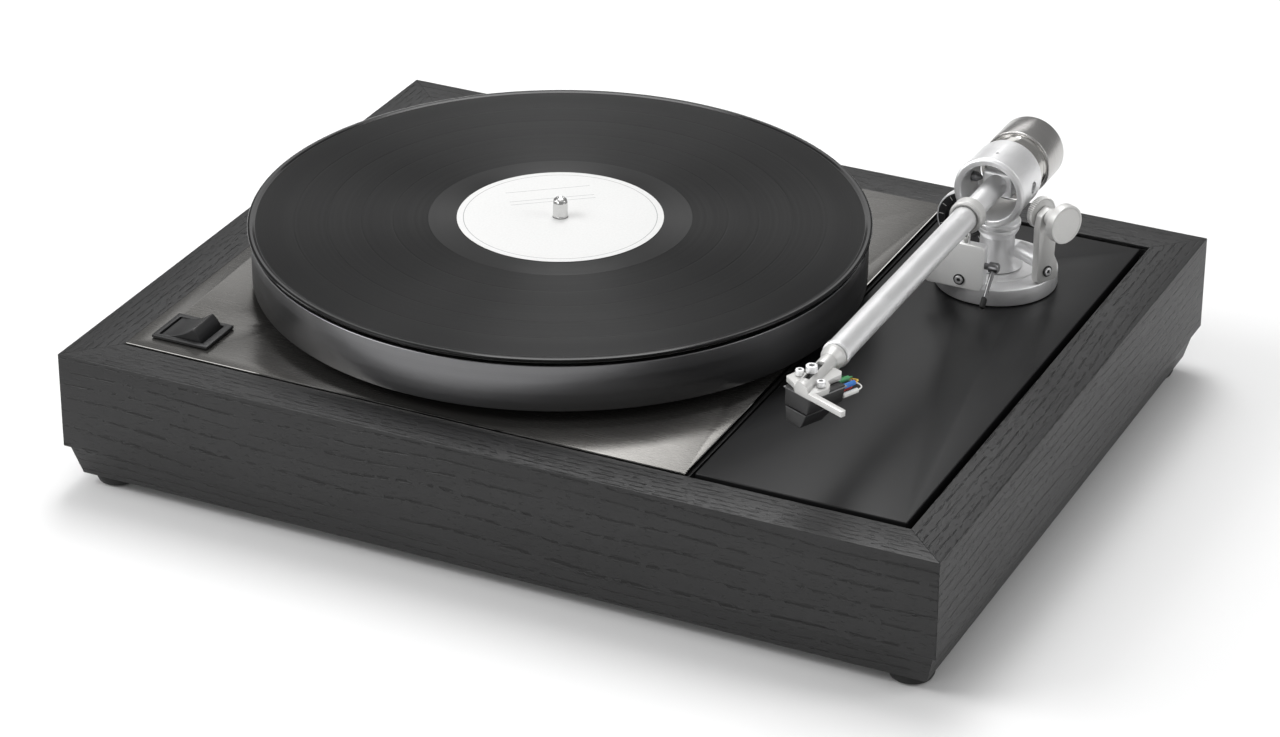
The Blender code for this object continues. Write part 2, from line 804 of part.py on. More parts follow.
def make_electronics():
    """The drive circuit board, on standoffs from the baseboard."""
    floor = PLINTH_BOTTOM + 3.5 * MM
    x0, x1, y0, y1 = -190 * MM, -163 * MM, 20 * MM, 140 * MM
    board_low = floor + 8.6 * MM
    board = box("drive_board", (x0, y0, board_low), (x1, y1, board_low + 1.6 * MM))
    top = board_low + 1.6 * MM - EPS
    middle = (x0 + x1) / 2
    low, high = (middle - 10 * MM, y0 + 14 * MM, top), (middle + 10 * MM, y0 + 44 * MM, top + 20 * MM)
    join(board, box("transformer", low, high))
    for sx in (-1, 1):
        for y in (58 * MM, 74 * MM):
            join(board, cylinder("capacitor", 5 * MM, 16 * MM, (middle + sx * 6 * MM, y0 + y, top), sides=10))
    for x in (x0 + 4 * MM, x1 - 4 * MM):
        for y in (y0 + 4 * MM, y1 - 4 * MM):
            join(board, cylinder("standoff", 2.6 * MM, 9 * MM, (x, y, floor + GAP), sides=8))
    finish(board, BOARD_GREEN)


def make_rear_panel():
    """A panel in a window of the back rail, with the mains inlet and the arm's outlets."""
    y = PANEL_FACE_Y
    panel = box(
        "rear_panel",
        (PANEL_X - PANEL_W / 2 + GAP, y - 2 * MM, PANEL_Z - PANEL_H / 2 + GAP),
        (PANEL_X + PANEL_W / 2 - GAP, y, PANEL_Z + PANEL_H / 2 - GAP),
    )
    inlet_x = PANEL_X + 36 * MM
    half_w, half_h = 14 * MM, 10 * MM
    wall = 2 * MM
    body = box(
        "inlet_body",
        (inlet_x - half_w, y - 12 * MM, PANEL_Z - half_h),
        (inlet_x + half_w, y + 1.5 * MM, PANEL_Z + half_h),
    )
    mouth = box(
        "inlet_mouth",
        (inlet_x - half_w + wall, y - 9.5 * MM, PANEL_Z - half_h + wall),
        (inlet_x + half_w - wall, y + 3 * MM, PANEL_Z + half_h - wall),
    )
    cut(join(panel, body), mouth)
    for dx, dz in ((-7 * MM, -2 * MM), (0, 2 * MM), (7 * MM, -2 * MM)):
        low = (inlet_x + dx - 1 * MM, y - 11 * MM, PANEL_Z + dz - 2 * MM)
        join(panel, box("inlet_pin", low, (inlet_x + dx + 1 * MM, y - 4 * MM, PANEL_Z + dz + 2 * MM)))
    for x in (PANEL_X - 44 * MM, PANEL_X - 26 * MM):
        socket = turned(
            "phono_socket",
            [
                (1.8 * MM, 5 * MM),
                (3.4 * MM, 5 * MM),
                (4 * MM, 4.4 * MM),
                (4 * MM, -5 * MM),
                (1.8 * MM, -5 * MM),
            ],
            (x, y, PANEL_Z),
            (0, 1, 0),
            12,
        )
        join(panel, socket)
    post = turned(
        "earth_terminal",
        [
            (0, 5 * MM),
            (3.6 * MM, 5 * MM),
            (3.6 * MM, 1 * MM),
            (2 * MM, 1 * MM),
            (2 * MM, -5 * MM),
            (0, -5 * MM),
        ],
        (PANEL_X - 8 * MM, y, PANEL_Z),
        (0, 1, 0),
        12,
    )
    finish(join(panel, post), PRESSED_STEEL)


def make_armboard():
    board = box(
        "armboard",
        (ARMBOARD_LEFT, -ARMBOARD_Y, DECK - ARMBOARD_T),
        (ARMBOARD_RIGHT, ARMBOARD_Y, DECK),
    )
    cut(board, cylinder("arm_hole", 14 * MM, 0.03, (PIVOT_X, PIVOT_Y, DECK - 0.02), sides=32))
    finish(bevel(board, 0.5 * MM), SATIN_BLACK)


def make_arm_base():
    at = (PIVOT_X, PIVOT_Y, 0)
    base = turned(
        "arm_base",
        [
            (0, BASE_TOP),
            (BASE_R - 1 * MM, BASE_TOP),
            (BASE_R, BASE_TOP - 1 * MM),
            (BASE_R, DECK + GAP),
            (13.4 * MM, DECK + GAP),
            (13.4 * MM, DECK - 13 * MM),
            (0, DECK - 13 * MM),
        ],
        at,
        sides=48,
    )
    x, y, z = DIAL_AT
    low, high = (x - 1 * MM, y + 2.5 * MM + GAP, BASE_TOP - 1 * MM), (x + 7 * MM, y + 6 * MM, z + 4 * MM)
    join(base, bevel(box("dial_bracket", low, high), 0.4 * MM))
    finish(base, SATIN_SILVER)
    nut = turned(
        "arm_base_nut",
        [
            (9 * MM, DECK - 13.3 * MM),
            (17 * MM, DECK - 13.3 * MM),
            (17 * MM, DECK - 18 * MM),
            (9 * MM, DECK - 18 * MM),
        ],
        at,
        sides=16,
    )
    finish(nut, BRASS)
    pillar = turned(
        "arm_pillar",
        [
            (0, DECK + 30.4 * MM),
            (10.4 * MM, DECK + 30.4 * MM),
            (10.4 * MM, DECK + 28.6 * MM),
            (8.4 * MM, DECK + 25.4 * MM),
            (8.2 * MM, DECK + 20 * MM),
            (12.8 * MM, BASE_TOP + GAP),
            (0, BASE_TOP + GAP),
        ],
        at,
        sides=28,
    )
    finish(pillar, SATIN_SILVER)


def side_frame(out=0.0, along=0.0, z=0.0):
    """A point given by its distance out of the arm base and along the side bracket's face."""
    n = Vector((math.cos(SIDE_ANGLE), -math.sin(SIDE_ANGLE), 0))
    t = Vector((math.sin(SIDE_ANGLE), math.cos(SIDE_ANGLE), 0))
    return Vector((PIVOT_X, PIVOT_Y, z)) + n * out + t * along, n, t


def make_side_bracket():
    """The bracket at the outer side, its stay and its knurled thumbscrew."""
    start, out, _ = side_frame(10.5 * MM, SIDE_ALONG, DECK + 19 * MM)
    stay = cylinder("bracket_stay", 4.5 * MM, SIDE_OUT - 10.5 * MM, start, out, 16)
    low = BASE_TOP + GAP - DECK
    outline = [
        (-6.2 * MM, low),
        (6.4 * MM, low),
        (6.8 * MM, low + 4 * MM),
        (6.4 * MM, low + 9 * MM),
        (4.4 * MM, low + 13 * MM),
        (4.9 * MM, low + 20 * MM),
        (6.4 * MM, low + 29 * MM),
        (5.2 * MM, low + 36 * MM),
        (0, low + 39 * MM),
        (-5.2 * MM, low + 36 * MM),
        (-6.4 * MM, low + 29 * MM),
        (-6.2 * MM, low + 19 * MM),
    ]
    bracket = plate("side_bracket", outline, -2 * MM, 2 * MM)
    centre, n, t = side_frame(SIDE_OUT, SIDE_ALONG, DECK)
    frame = Matrix((t, Vector((0, 0, 1)), n)).transposed().to_4x4()
    place(bracket, Matrix.Translation(centre) @ frame)
    hole_at, _, _ = side_frame(SIDE_OUT - 4 * MM, SIDE_ALONG, SCREW_AXIS_Z)
    cut(bracket, cylinder("thumb_hole", 3.3 * MM, 8 * MM, hole_at, n, 20))
    finish(join(bevel(bracket, 0.4 * MM), stay), PEARL_SILVER)
    begin, _, _ = side_frame(SCREW_START, SIDE_ALONG, SCREW_AXIS_Z)
    thumb = turned(
        "bias_thumbscrew",
        [
            (0, 20 * MM),
            (8.9 * MM, 20 * MM),
            (9.7 * MM, 19.2 * MM),
            (9.7 * MM, 15.9 * MM),
            (9.2 * MM, 15.4 * MM),
            (4.4 * MM, 15.4 * MM),
            (4.4 * MM, 8.4 * MM),
            (3 * MM, 8.4 * MM),
            (3 * MM, 3.6 * MM),
            (7.9 * MM, 3.6 * MM),
            (7.9 * MM, 0.5 * MM),
            (7.4 * MM, 0),
            (0, 0),
        ],
        begin,
        n,
        24,
    )
    finish(thumb, PEARL_SILVER)
    ride(axis_empty("thumbscrew_axis", begin, n), thumb)


def make_lift():
    """The lift block with its front plate, the lift bar and the cueing lever."""
    (x0, y0), (x1, y1) = LIFT_BLOCK
    low = BASE_TOP + GAP
    block = box("lift_block", (x0, y0, low), (x1, y1, LIFT_BLOCK_TOP))
    cut(
        block,
        cylinder("lift_bore", 2.3 * MM, 0.04, (*LIFT_POST, low + 4 * MM), sides=14),
        cylinder("pin_bore", 1.9 * MM, 8 * MM, (x1 - 6 * MM, *LEVER_PIN[1:]), (1, 0, 0), 16),
    )
    finish(bevel(block, 0.5 * MM), SATIN_SILVER)
    outline = [
        (121 * MM, low - 0.6 * MM),
        (148.6 * MM, low - 0.6 * MM),
        (149.6 * MM, low + 2 * MM),
        (150 * MM, low + 21 * MM),
        (148.6 * MM, low + 23 * MM),
        (134 * MM, low + 23 * MM),
        (120.6 * MM, low + 2 * MM),
    ]
    face = plate("lift_plate", outline, 0, 1.8 * MM)
    place(face, Matrix.Rotation(math.radians(90), 4, "X"))
    place(face, Matrix.Translation((0, y0 - GAP, 0)))
    finish(bevel(face, 0.3 * MM), PEARL_SILVER)
    start, end = math.radians(-8), math.radians(24)
    steps = 10

    def arc(radius, order):
        return [
            (
                PIVOT_X - radius * math.sin(start + (end - start) * i / steps),
                PIVOT_Y - radius * math.cos(start + (end - start) * i / steps),
            )
            for i in order
        ]

    forth, back = range(steps + 1), range(steps, -1, -1)
    ring = arc(LIFT_ARC_R - 2.4 * MM, forth) + arc(LIFT_ARC_R + 0.6 * MM, back)
    bar = plate("lift_bar", ring, LIFT_BAR_LOW, LIFT_BAR_TOP)
    join(bar, cylinder("lift_post", 2 * MM, 26 * MM, (*LIFT_POST, LIFT_BAR_LOW - 25 * MM), sides=12))
    finish(bar, SATIN_SILVER)
    ride(axis_empty("lift_axis", (*LIFT_POST, LIFT_BAR_LOW)), bar)
    x, y, z = LEVER_PIN
    lever = turned(
        "cue_lever",
        [
            (0, 7 * MM),
            (2.6 * MM, 7 * MM),
            (2.6 * MM, 2.4 * MM),
            (1.6 * MM, 2.4 * MM),
            (1.6 * MM, -5 * MM),
            (0, -5 * MM),
        ],
        (x, y, z),
        (1, 0, 0),
        14,
    )
    tip = Vector((x + 4.7 * MM, y - 15 * MM, z - 15.6 * MM))
    root = Vector((x + 4.7 * MM, y, z))
    blade = cylinder("blade", 1.3 * MM, 17 * MM, root, tip - root, 12, 0.9 * MM)
    paddle = box("paddle", (-1.1 * MM, -2 * MM, 15.5 * MM), (1.1 * MM, 2 * MM, 21 * MM))
    paddle.matrix_world = Matrix.Translation(root) @ towards(tip - root) @ paddle.matrix_basis
    join(lever, blade, paddle)
    finish(lever, PRESSED_STEEL)
    ride(axis_empty("lever_axis", (x, y, z), (-1, 0, 0)), lever)


def make_dial():
    x, y, z = DIAL_AT
    dial = turned(
        "bias_dial",
        [
            (0, -1 * MM),
            (2.4 * MM, -1 * MM),
            (2.4 * MM, -3 * MM),
            (9.6 * MM, -3 * MM),
            (9.6 * MM, 0),
            (DIAL_R - 0.7 * MM, 0),
            (DIAL_R, -0.7 * MM),
            (DIAL_R, -5 * MM),
            (0, -5 * MM),
        ],
        (x, y - 2.5 * MM, z),
        (0, -1, 0),
        28,
    )
    finish(dial, BLACK_PLASTIC)
    ride(axis_empty("dial_axis", DIAL_AT, (0, -1, 0)), dial)


def make_base_screws():
    """The cap screws of the lift plate and of the side bracket."""
    lift_at = (138 * MM, LIFT_BLOCK[0][1] - 2 * GAP - 1.8 * MM, DECK + 13.4 * MM)
    side_at, n, _ = side_frame(SIDE_OUT + 2 * MM + GAP, SIDE_ALONG, DECK + 15 * MM)
    for name, at, facing in (
        ("lift_plate_screw", lift_at, (0, -1, 0)),
        ("side_bracket_screw", side_at, n),
    ):
        screw = socket_screw(at, facing, 2.8 * MM, 1 * MM, 16)
        screw.name = name
        finish(screw, STEEL)


def make_gimbal():
    """The swinging housing, its bearing cap and the side pivots of the arm."""
    at = (PIVOT_X, 0, ARM_Z)
    housing = turned(
        "gimbal_housing",
        [
            (HOUSING_BORE_R, HOUSING_REAR),
            (HOUSING_R - 1.4 * MM, HOUSING_REAR),
            (HOUSING_R - 0.7 * MM, HOUSING_REAR - 0.7 * MM),
            (HOUSING_R - 0.7 * MM, HOUSING_FRONT + 3.2 * MM),
            (HOUSING_R, HOUSING_FRONT + 2.6 * MM),
            (HOUSING_R, HOUSING_FRONT + 1.4 * MM),
            (HOUSING_R - 1.4 * MM, HOUSING_FRONT),
            (HOUSING_BORE_R, HOUSING_FRONT),
        ],
        at,
        (0, 1, 0),
        44,
    )
    boss = turned(
        "swing_boss",
        [
            (0, DECK + 37 * MM),
            (7 * MM, DECK + 37 * MM),
            (7 * MM, DECK + 33.4 * MM),
            (10.4 * MM, DECK + 33.4 * MM),
            (11 * MM, DECK + 32.8 * MM),
            (11 * MM, DECK + 30.7 * MM),
            (0, DECK + 30.7 * MM),
        ],
        (PIVOT_X, PIVOT_Y, 0),
        sides=28,
    )
    join(housing, boss)
    for sx in (-1, 1):
        pivot = turned(
            "pivot_screw",
            [
                (0, 10.1 * MM),
                (2 * MM, 10.1 * MM),
                (2.5 * MM, 9.7 * MM),
                (2.5 * MM, 4 * MM),
                (1.2 * MM, 2 * MM),
                (0, 0.4 * MM),
            ],
            (PIVOT_X + sx * 7.8 * MM, PIVOT_Y, ARM_Z),
            (sx, 0, 0),
            12,
        )
        join(housing, pivot)
    finish(housing, SATIN_SILVER)
    swing = axis_empty("swing_axis", (PIVOT_X, PIVOT_Y, ARM_Z), (0, 0, -1))
    ride(swing, housing)
    return swing


def make_arm(swing):
    """The arm tube, its collar, the thinner rear tube and the block between the pivots."""
    axis = (0, 1, 0)
    at = (PIVOT_X, 0, ARM_Z)
    tube = turned(
        "arm_tube",
        [
            (TUBE_BORE_R, TUBE_REAR),
            (TUBE_R, TUBE_REAR),
            (TUBE_R, TUBE_FRONT + 3.4 * MM),
            (TUBE_R + 0.35 * MM, TUBE_FRONT + 3.2 * MM),
            (TUBE_R + 0.35 * MM, TUBE_FRONT + 0.5 * MM),
            (TUBE_R - 0.2 * MM, TUBE_FRONT),
            (TUBE_BORE_R, TUBE_FRONT),
        ],
        at,
        axis,
        24,
    )
    collar = turned(
        "arm_collar",
        [
            (REAR_TUBE_R + GAP, TUBE_REAR + 7.6 * MM),
            (7.2 * MM, TUBE_REAR + 7.6 * MM),
            (8.3 * MM, TUBE_REAR + 6.4 * MM),
            (8.3 * MM, TUBE_REAR + 1.1 * MM),
            (7.6 * MM, TUBE_REAR + 0.4 * MM),
            (5.9 * MM, TUBE_REAR + 0.4 * MM),
            (5.9 * MM, TUBE_REAR - 3 * MM),
            (REAR_TUBE_R + GAP, TUBE_REAR - 3 * MM),
        ],
        at,
        axis,
        28,
    )
    finish(join(tube, collar), SATIN_SILVER)
    start = (PIVOT_X, TUBE_REAR + 0.3 * MM, ARM_Z)
    shaft = cylinder("arm_shaft", REAR_TUBE_R, WEIGHT_REAR - 4 * MM - start[1], start, axis, 24)
    block = box(
        "pivot_block",
        (PIVOT_X - 7.8 * MM, PIVOT_Y - 5 * MM, ARM_Z - 6.5 * MM),
        (PIVOT_X + 7.8 * MM, PIVOT_Y + 5 * MM, ARM_Z + 6.5 * MM),
    )
    finish(join(shaft, bevel(block, 1.2 * MM)), SATIN_SILVER)
    pitch = axis_empty("pitch_axis", (PIVOT_X, PIVOT_Y, ARM_Z), (-1, 0, 0))
    ride(pitch, tube, shaft)
    ride(swing, pitch)
    return pitch


def head_point(u, w, z=0.0):
    """A point of the headshell: u towards the finger lift, w towards the front."""
    c, s = math.cos(OFFSET), math.sin(OFFSET)
    return Vector((HEAD_X + u * c - w * s, HEAD_Y - u * s - w * c, z))


def make_headshell(pitch):
    neck = cylinder(
        "headshell", NECK_R, TUBE_FRONT - GAP - NECK_FRONT, (PIVOT_X, NECK_FRONT, ARM_Z), (0, 1, 0), 32
    )
    outline = [
        (-10.3, 5),
        (-10.6, -1),
        (-9.4, -3),
        (-5.4, -4),
        (-4.2, -14.6),
        (-2.4, -16.8),
        (1.8, -16.8),
        (4.2, -14.4),
        (4.2, -9),
        (4.9, -5.9),
        (8.2, -4.4),
        (10.3, -1.6),
        (10.3, 6.1),
        (30.2, 6.1),
        (30.2, 9),
        (0, 9),
        (-3.3, 6.8),
    ]
    flat = [head_point(u * MM, w * MM)[:2] for u, w in outline]
    join(neck, plate("head_plate", flat, PLATE_LOW, PLATE_TOP))
    under = box("neck_flat", (0.13, -0.17, PLATE_LOW - 0.01), (0.16, -123.5 * MM, PLATE_LOW))
    slot_low = ARM_Z + 2 * MM
    slot = box(
        "neck_slot",
        (PIVOT_X - 1.6 * MM, -146.5 * MM, slot_low),
        (PIVOT_X + 1.6 * MM, -129 * MM, ARM_Z + 0.01),
    )
    nose = box("nose_cut", (-0.02, 0, 0), (0.02, 0.02, 0.03))
    nose.matrix_world = (
        Matrix.Translation(head_point(0, 9.05 * MM, ARM_Z - 0.015))
        @ Matrix.Rotation(math.pi - OFFSET, 4, "Z")
        @ Matrix.Translation((0, 0.01, 0.015))
    )
    cut(neck, under, slot, nose)
    finish(neck, PEARL_SILVER)
    ride(pitch, neck)
    for name, at, radius, height in (
        ("cartridge_screw_left", head_point(-7 * MM, 0, PLATE_TOP + GAP), 2 * MM, 2.8 * MM),
        ("cartridge_screw_right", head_point(7 * MM, 0, PLATE_TOP + GAP), 2 * MM, 2.8 * MM),
        ("headshell_screw", (PIVOT_X, -140 * MM, ARM_Z + NECK_R + GAP), 2.65 * MM, 3.2 * MM),
    ):
        screw = socket_screw(at, (0, 0, 1), radius, height, 20)
        screw.name = name
        ride(pitch, finish(screw, STEEL))


def loft(name, low, high, z_low, z_high):
    """A block between two rectangles of the headshell frame, each (u0, u1, w0, w1)."""
    shape = bmesh.new()
    bmesh.ops.create_cube(shape, size=2)
    for vert in shape.verts:
        u0, u1, w0, w1 = high if vert.co.z > 0 else low
        z = z_high if vert.co.z > 0 else z_low
        vert.co = head_point(u1 if vert.co.x > 0 else u0, w0 if vert.co.y > 0 else w1, z)
    return mesh_object(name, shape)


def make_cartridge(pitch):
    top = PLATE_LOW - GAP
    body = loft(
        "cartridge_body",
        (-7.4 * MM, 7.4 * MM, -12.6 * MM, 8.4 * MM),
        (-8.4 * MM, 8.4 * MM, -13.6 * MM, 7.4 * MM),
        BODY_LOW,
        top,
    )
    finish(bevel(body, 0.4 * MM), BLACK_PLASTIC)
    unit_low = STYLUS_Z + 0.5 * MM
    unit = loft(
        "stylus_unit",
        (-4.8 * MM, 4.8 * MM, -3 * MM, 9.6 * MM),
        (-7 * MM, 7 * MM, -11.6 * MM, 8.4 * MM),
        unit_low,
        BODY_LOW - GAP,
    )
    tip = cylinder(
        "stylus_tip", 0.5 * MM, 1.5 * MM, head_point(0, 7 * MM, STYLUS_Z), (0, 0, 1), 12, 0.9 * MM
    )
    join(unit, tip)
    finish(unit, BLACK_PLASTIC)
    ride(pitch, body, unit)
    make_leads(pitch)


def make_leads(pitch):
    """Four sleeved pins on the cartridge, whose wires run into one sleeve under the tube's end."""
    back = head_point(0, -1) - head_point(0, 0)
    entry = Vector((PIVOT_X, TUBE_FRONT - 1.5 * MM, ARM_Z - TUBE_R - 1.2 * MM))
    leads = cylinder("cartridge_leads", 1.1 * MM, 4 * MM, entry, (0.9, -0.6, 0), 12)
    tags = ((0, 47.2), (4, 46.6), (6, 43.6), (1.6, 43.8))
    for i, (u, z) in enumerate(tags):
        begin = head_point(u * MM, -14 * MM, DECK + z * MM)
        end = begin + back * 8.6 * MM
        turn = begin + back * (14 + 1.5 * i) * MM
        away = entry + Vector((9 * MM, -6 * MM, 0))
        points = []
        for k in range(7):
            s = k / 6
            a, b = end * (1 - s) ** 3, turn * 3 * s * (1 - s) ** 2
            c, d = away * 3 * s * s * (1 - s), (entry + Vector((2 * MM, -1.3 * MM, 0))) * s**3
            points.append(a + b + c + d)
        join(leads, wire("lead", points, 0.35 * MM))
        join(leads, cylinder("tag", 1.15 * MM, 9 * MM, begin, back, 10))
    ride(pitch, finish(leads, LEAD_RED))


def make_counterweight(pitch):
    weight = turned(
        "counterweight",
        [
            (WEIGHT_BORE_R, WEIGHT_REAR - 1.4 * MM),
            (9 * MM, WEIGHT_REAR - 1.4 * MM),
            (9.6 * MM, WEIGHT_REAR),
            (WEIGHT_R - 0.7 * MM, WEIGHT_REAR),
            (WEIGHT_R, WEIGHT_REAR - 0.7 * MM),
            (WEIGHT_R, WEIGHT_FRONT + 8.8 * MM),
            (WEIGHT_NECK_R, WEIGHT_FRONT + 6.6 * MM),
            (WEIGHT_NECK_R, WEIGHT_FRONT + 0.7 * MM),
            (WEIGHT_NECK_R - 0.7 * MM, WEIGHT_FRONT),
            (WEIGHT_BORE_R, WEIGHT_FRONT),
        ],
        (PIVOT_X, 0, ARM_Z),
        (0, 1, 0),
        36,
    )
    finish(weight, STAINLESS)
    slide = axis_empty("weight_axis", (PIVOT_X, WEIGHT_FRONT, ARM_Z), (0, 1, 0))
    ride(slide, weight)
    ride(pitch, slide)


def main():
    make_rails()
    make_plinth_inside()
    make_feet()
    make_top_plate()
    make_switch()
    make_motor()
    make_belt()
    make_turntable()
    make_bearing()
    make_chassis()
    make_suspension()
    make_electronics()
    make_rear_panel()
    make_armboard()
    make_arm_base()
    make_side_bracket()
    make_lift()
    make_dial()
    make_base_screws()
    swing = make_gimbal()
    pitch = make_arm(swing)
    make_headshell(pitch)
    make_cartridge(pitch)
    make_counterweight(pitch)


main()
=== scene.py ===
import json
from math import atan2, cos, pi, radians, sin, tan

import bmesh
import bpy
from mathutils import Matrix, Vector

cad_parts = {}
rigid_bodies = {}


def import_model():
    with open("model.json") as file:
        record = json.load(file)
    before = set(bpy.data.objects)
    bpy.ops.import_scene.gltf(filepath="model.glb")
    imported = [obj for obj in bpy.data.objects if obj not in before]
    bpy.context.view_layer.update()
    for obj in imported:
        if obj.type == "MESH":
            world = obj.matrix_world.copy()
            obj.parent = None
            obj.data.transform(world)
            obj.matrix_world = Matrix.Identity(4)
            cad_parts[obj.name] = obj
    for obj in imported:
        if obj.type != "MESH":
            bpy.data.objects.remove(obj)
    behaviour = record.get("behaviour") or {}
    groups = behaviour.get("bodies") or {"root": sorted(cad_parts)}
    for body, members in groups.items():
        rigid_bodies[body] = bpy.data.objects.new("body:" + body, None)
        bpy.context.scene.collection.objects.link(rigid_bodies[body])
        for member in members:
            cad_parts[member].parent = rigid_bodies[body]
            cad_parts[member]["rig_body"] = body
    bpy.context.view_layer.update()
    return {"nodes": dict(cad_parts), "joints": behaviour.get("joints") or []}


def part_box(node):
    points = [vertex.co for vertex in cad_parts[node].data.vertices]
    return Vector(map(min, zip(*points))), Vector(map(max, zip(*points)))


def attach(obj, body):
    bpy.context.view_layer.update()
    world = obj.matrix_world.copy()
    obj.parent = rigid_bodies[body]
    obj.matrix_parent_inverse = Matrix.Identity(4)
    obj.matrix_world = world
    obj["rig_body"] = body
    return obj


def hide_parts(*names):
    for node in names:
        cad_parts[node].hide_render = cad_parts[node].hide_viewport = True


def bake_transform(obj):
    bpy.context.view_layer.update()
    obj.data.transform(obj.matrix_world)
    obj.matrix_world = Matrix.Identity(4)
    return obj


# The looks of a belt-drive record player: fine pieces and procedural materials round the packed
# solids. Metres, +Z up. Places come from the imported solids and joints, and the sizes below are
# the object's own.

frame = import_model()

MM = 0.001
TINY = 1e-9
UP = Vector((0, 0, 1))
BACKWARD = Vector((0, 1, 0))


def centre(node):
    low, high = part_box(node)
    return (low + high) / 2


def joint_at(name):
    return next(Vector(joint["pos_m"]) for joint in frame["joints"] if joint["name"] == name)


HALF_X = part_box("plinth_right_rail")[1].x
HALF_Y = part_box("plinth_back_rail")[1].y
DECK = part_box("plinth_front_rail")[1].z
PLINTH_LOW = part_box("plinth_front_rail")[0].z
RAIL_T = 22.5 * MM
HUB = Vector((centre("outer_platter").x, centre("outer_platter").y, 0))
PIVOT = joint_at("arm_pitch")
ARM_LINE = Vector((PIVOT.x, 0, PIVOT.z))
BASE_AXIS = Vector((PIVOT.x, PIVOT.y, 0))
SPOTS = ("front", "rear", "right")


# ---- shapes


def mm(points):
    """Points given in millimetres, in metres."""
    return [(first * MM, second * MM) for first, second in points]


def above(base, *points):
    """Points given in millimetres, with their second number counted from the base."""
    return [(first * MM, base + second * MM) for first, second in points]


def band(inner, outer, top, bottom=0.0):
    """The profile of a plain ring, or of a plain cylinder if inner is 0."""
    return [(inner, top), (outer, top), (outer, bottom), (inner, bottom)]


def washer(node, bore):
    """The profile of a flat ring as wide and as thick as a CAD node."""
    low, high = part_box(node)
    return band(bore, (high.x - low.x) / 2, high.z, low.z)


STRAIGHT = radians(12)


def fillet(points, radius, closed=True, steps=3):
    """The outline with its corners rounded as far as its sides leave room."""
    made = []
    count = len(points)
    for i, point in enumerate(points):
        here = Vector(point)
        before, after = Vector(points[i - 1]) - here, Vector(points[(i + 1) % count]) - here
        bend = pi - before.angle(after, pi)
        if bend < STRAIGHT or not closed and i in (0, count - 1):
            made.append(here)
            continue
        reach = min(radius * tan(bend / 2), 0.45 * before.length, 0.45 * after.length)
        start, end = here + before.normalized() * reach, here + after.normalized() * reach
        for k in range(steps + 1):
            t = k / steps
            made.append(start.lerp(here, t).lerp(here.lerp(end, t), t))
    return made


def towards(direction):
    return Vector(direction).to_track_quat("Z", "Y").to_matrix().to_4x4()


def turn(shape, profile, at=(0, 0, 0), axis=UP, sides=96, rounding=0.3, ripple=None):
    """Add a turned solid: a ring, unless its (radius, height) profile starts and ends on the axis.
    Its rounding is in millimetres, and ripple is (count, depth, least radius) for a knurl."""
    solid = profile[0][0] == 0
    points = fillet(profile, rounding * MM, closed=not solid)
    place = Matrix.Translation(at) @ towards(axis)
    rings = []
    for radius, height in points:
        if radius < TINY:
            rings.append([shape.verts.new(place @ Vector((0, 0, height)))])
            continue
        ring = []
        for i in range(sides):
            a = 2 * pi * i / sides
            r = radius
            if ripple and radius > ripple[2]:
                r -= ripple[1] * (0.5 + 0.5 * cos(a * ripple[0]))
            ring.append(shape.verts.new(place @ Vector((r * cos(a), r * sin(a), height))))
        rings.append(ring)
    pairs = list(zip(rings, rings[1:]))
    if not solid:
        pairs.append((rings[-1], rings[0]))
    for upper, lower in pairs:
        for i in range(sides):
            j = (i + 1) % sides
            around = ((upper, i), (lower, i), (lower, j), (upper, j))
            corners = list(dict.fromkeys(ring[k % len(ring)] for ring, k in around))
            if len(corners) > 2:
                shape.faces.new(corners)
    return shape


def loft(shape, rings):
    """Join rings of the same count with faces and close both ends."""
    for first, second in zip(rings, rings[1:]):
        for i in range(len(first)):
            j = (i + 1) % len(first)
            shape.faces.new((first[i], first[j], second[j], second[i]))
    shape.faces.new(rings[0][::-1])
    shape.faces.new(rings[-1])
    return shape


def slab(shape, outline, low, high, place=Matrix.Identity(4), rounding=0.0):
    """Add a flat plate with rounded corners in plan, between two heights of its own frame."""
    points = fillet(outline, rounding * MM) if rounding else outline
    return loft(shape, [[shape.verts.new(place @ Vector((x, y, z))) for x, y in points] for z in (low, high)])


def block(shape, low, high, place=Matrix.Identity(4)):
    (x0, y0, z0), (x1, y1, z1) = low, high
    return slab(shape, ((x0, y0), (x1, y0), (x1, y1), (x0, y1)), z0, z1, place)


def pipe(shape, points, radius, sides, radius_end=None):
    """Add a round rod along the points, thinning evenly if radius_end is given."""
    points = [Vector(p) for p in points]
    end = radius if radius_end is None else radius_end
    angles = [2 * pi * k / sides for k in range(sides)]
    side = None
    rings = []
    for i, point in enumerate(points):
        along = points[min(i + 1, len(points) - 1)] - points[max(i - 1, 0)]
        along.normalize()
        if side is None:
            side = along.orthogonal().normalized()
        side = (side - along * side.dot(along)).normalized()
        other = along.cross(side)
        r = radius + (end - radius) * i / (len(points) - 1)
        spokes = (side * cos(a) + other * sin(a) for a in angles)
        rings.append([shape.verts.new(point + spoke * r) for spoke in spokes])
    return loft(shape, rings)


def placed(name, data, place=Matrix.Identity(4)):
    """A new object in the scene for a mesh, a lamp or a camera."""
    made = bpy.data.objects.new(name, data)
    made.matrix_world = place
    bpy.context.scene.collection.objects.link(made)
    return made


def loose(shape):
    """The shape as an object that isn't a piece yet."""
    bmesh.ops.recalc_face_normals(shape, faces=shape.faces)
    mesh = bpy.data.meshes.new("loose")
    shape.to_mesh(mesh)
    shape.free()
    return placed("loose", mesh)


def turned(profile, *settings, **named):
    """A turned solid as an object; what follows the profile is as for turn."""
    return loose(turn(bmesh.new(), profile, *settings, **named))


def sheet(outline, low, high, place=Matrix.Identity(4), rounding=0.0):
    return loose(slab(bmesh.new(), outline, low, high, place, rounding))


def box(low, high, place=Matrix.Identity(4)):
    return loose(block(bmesh.new(), low, high, place))


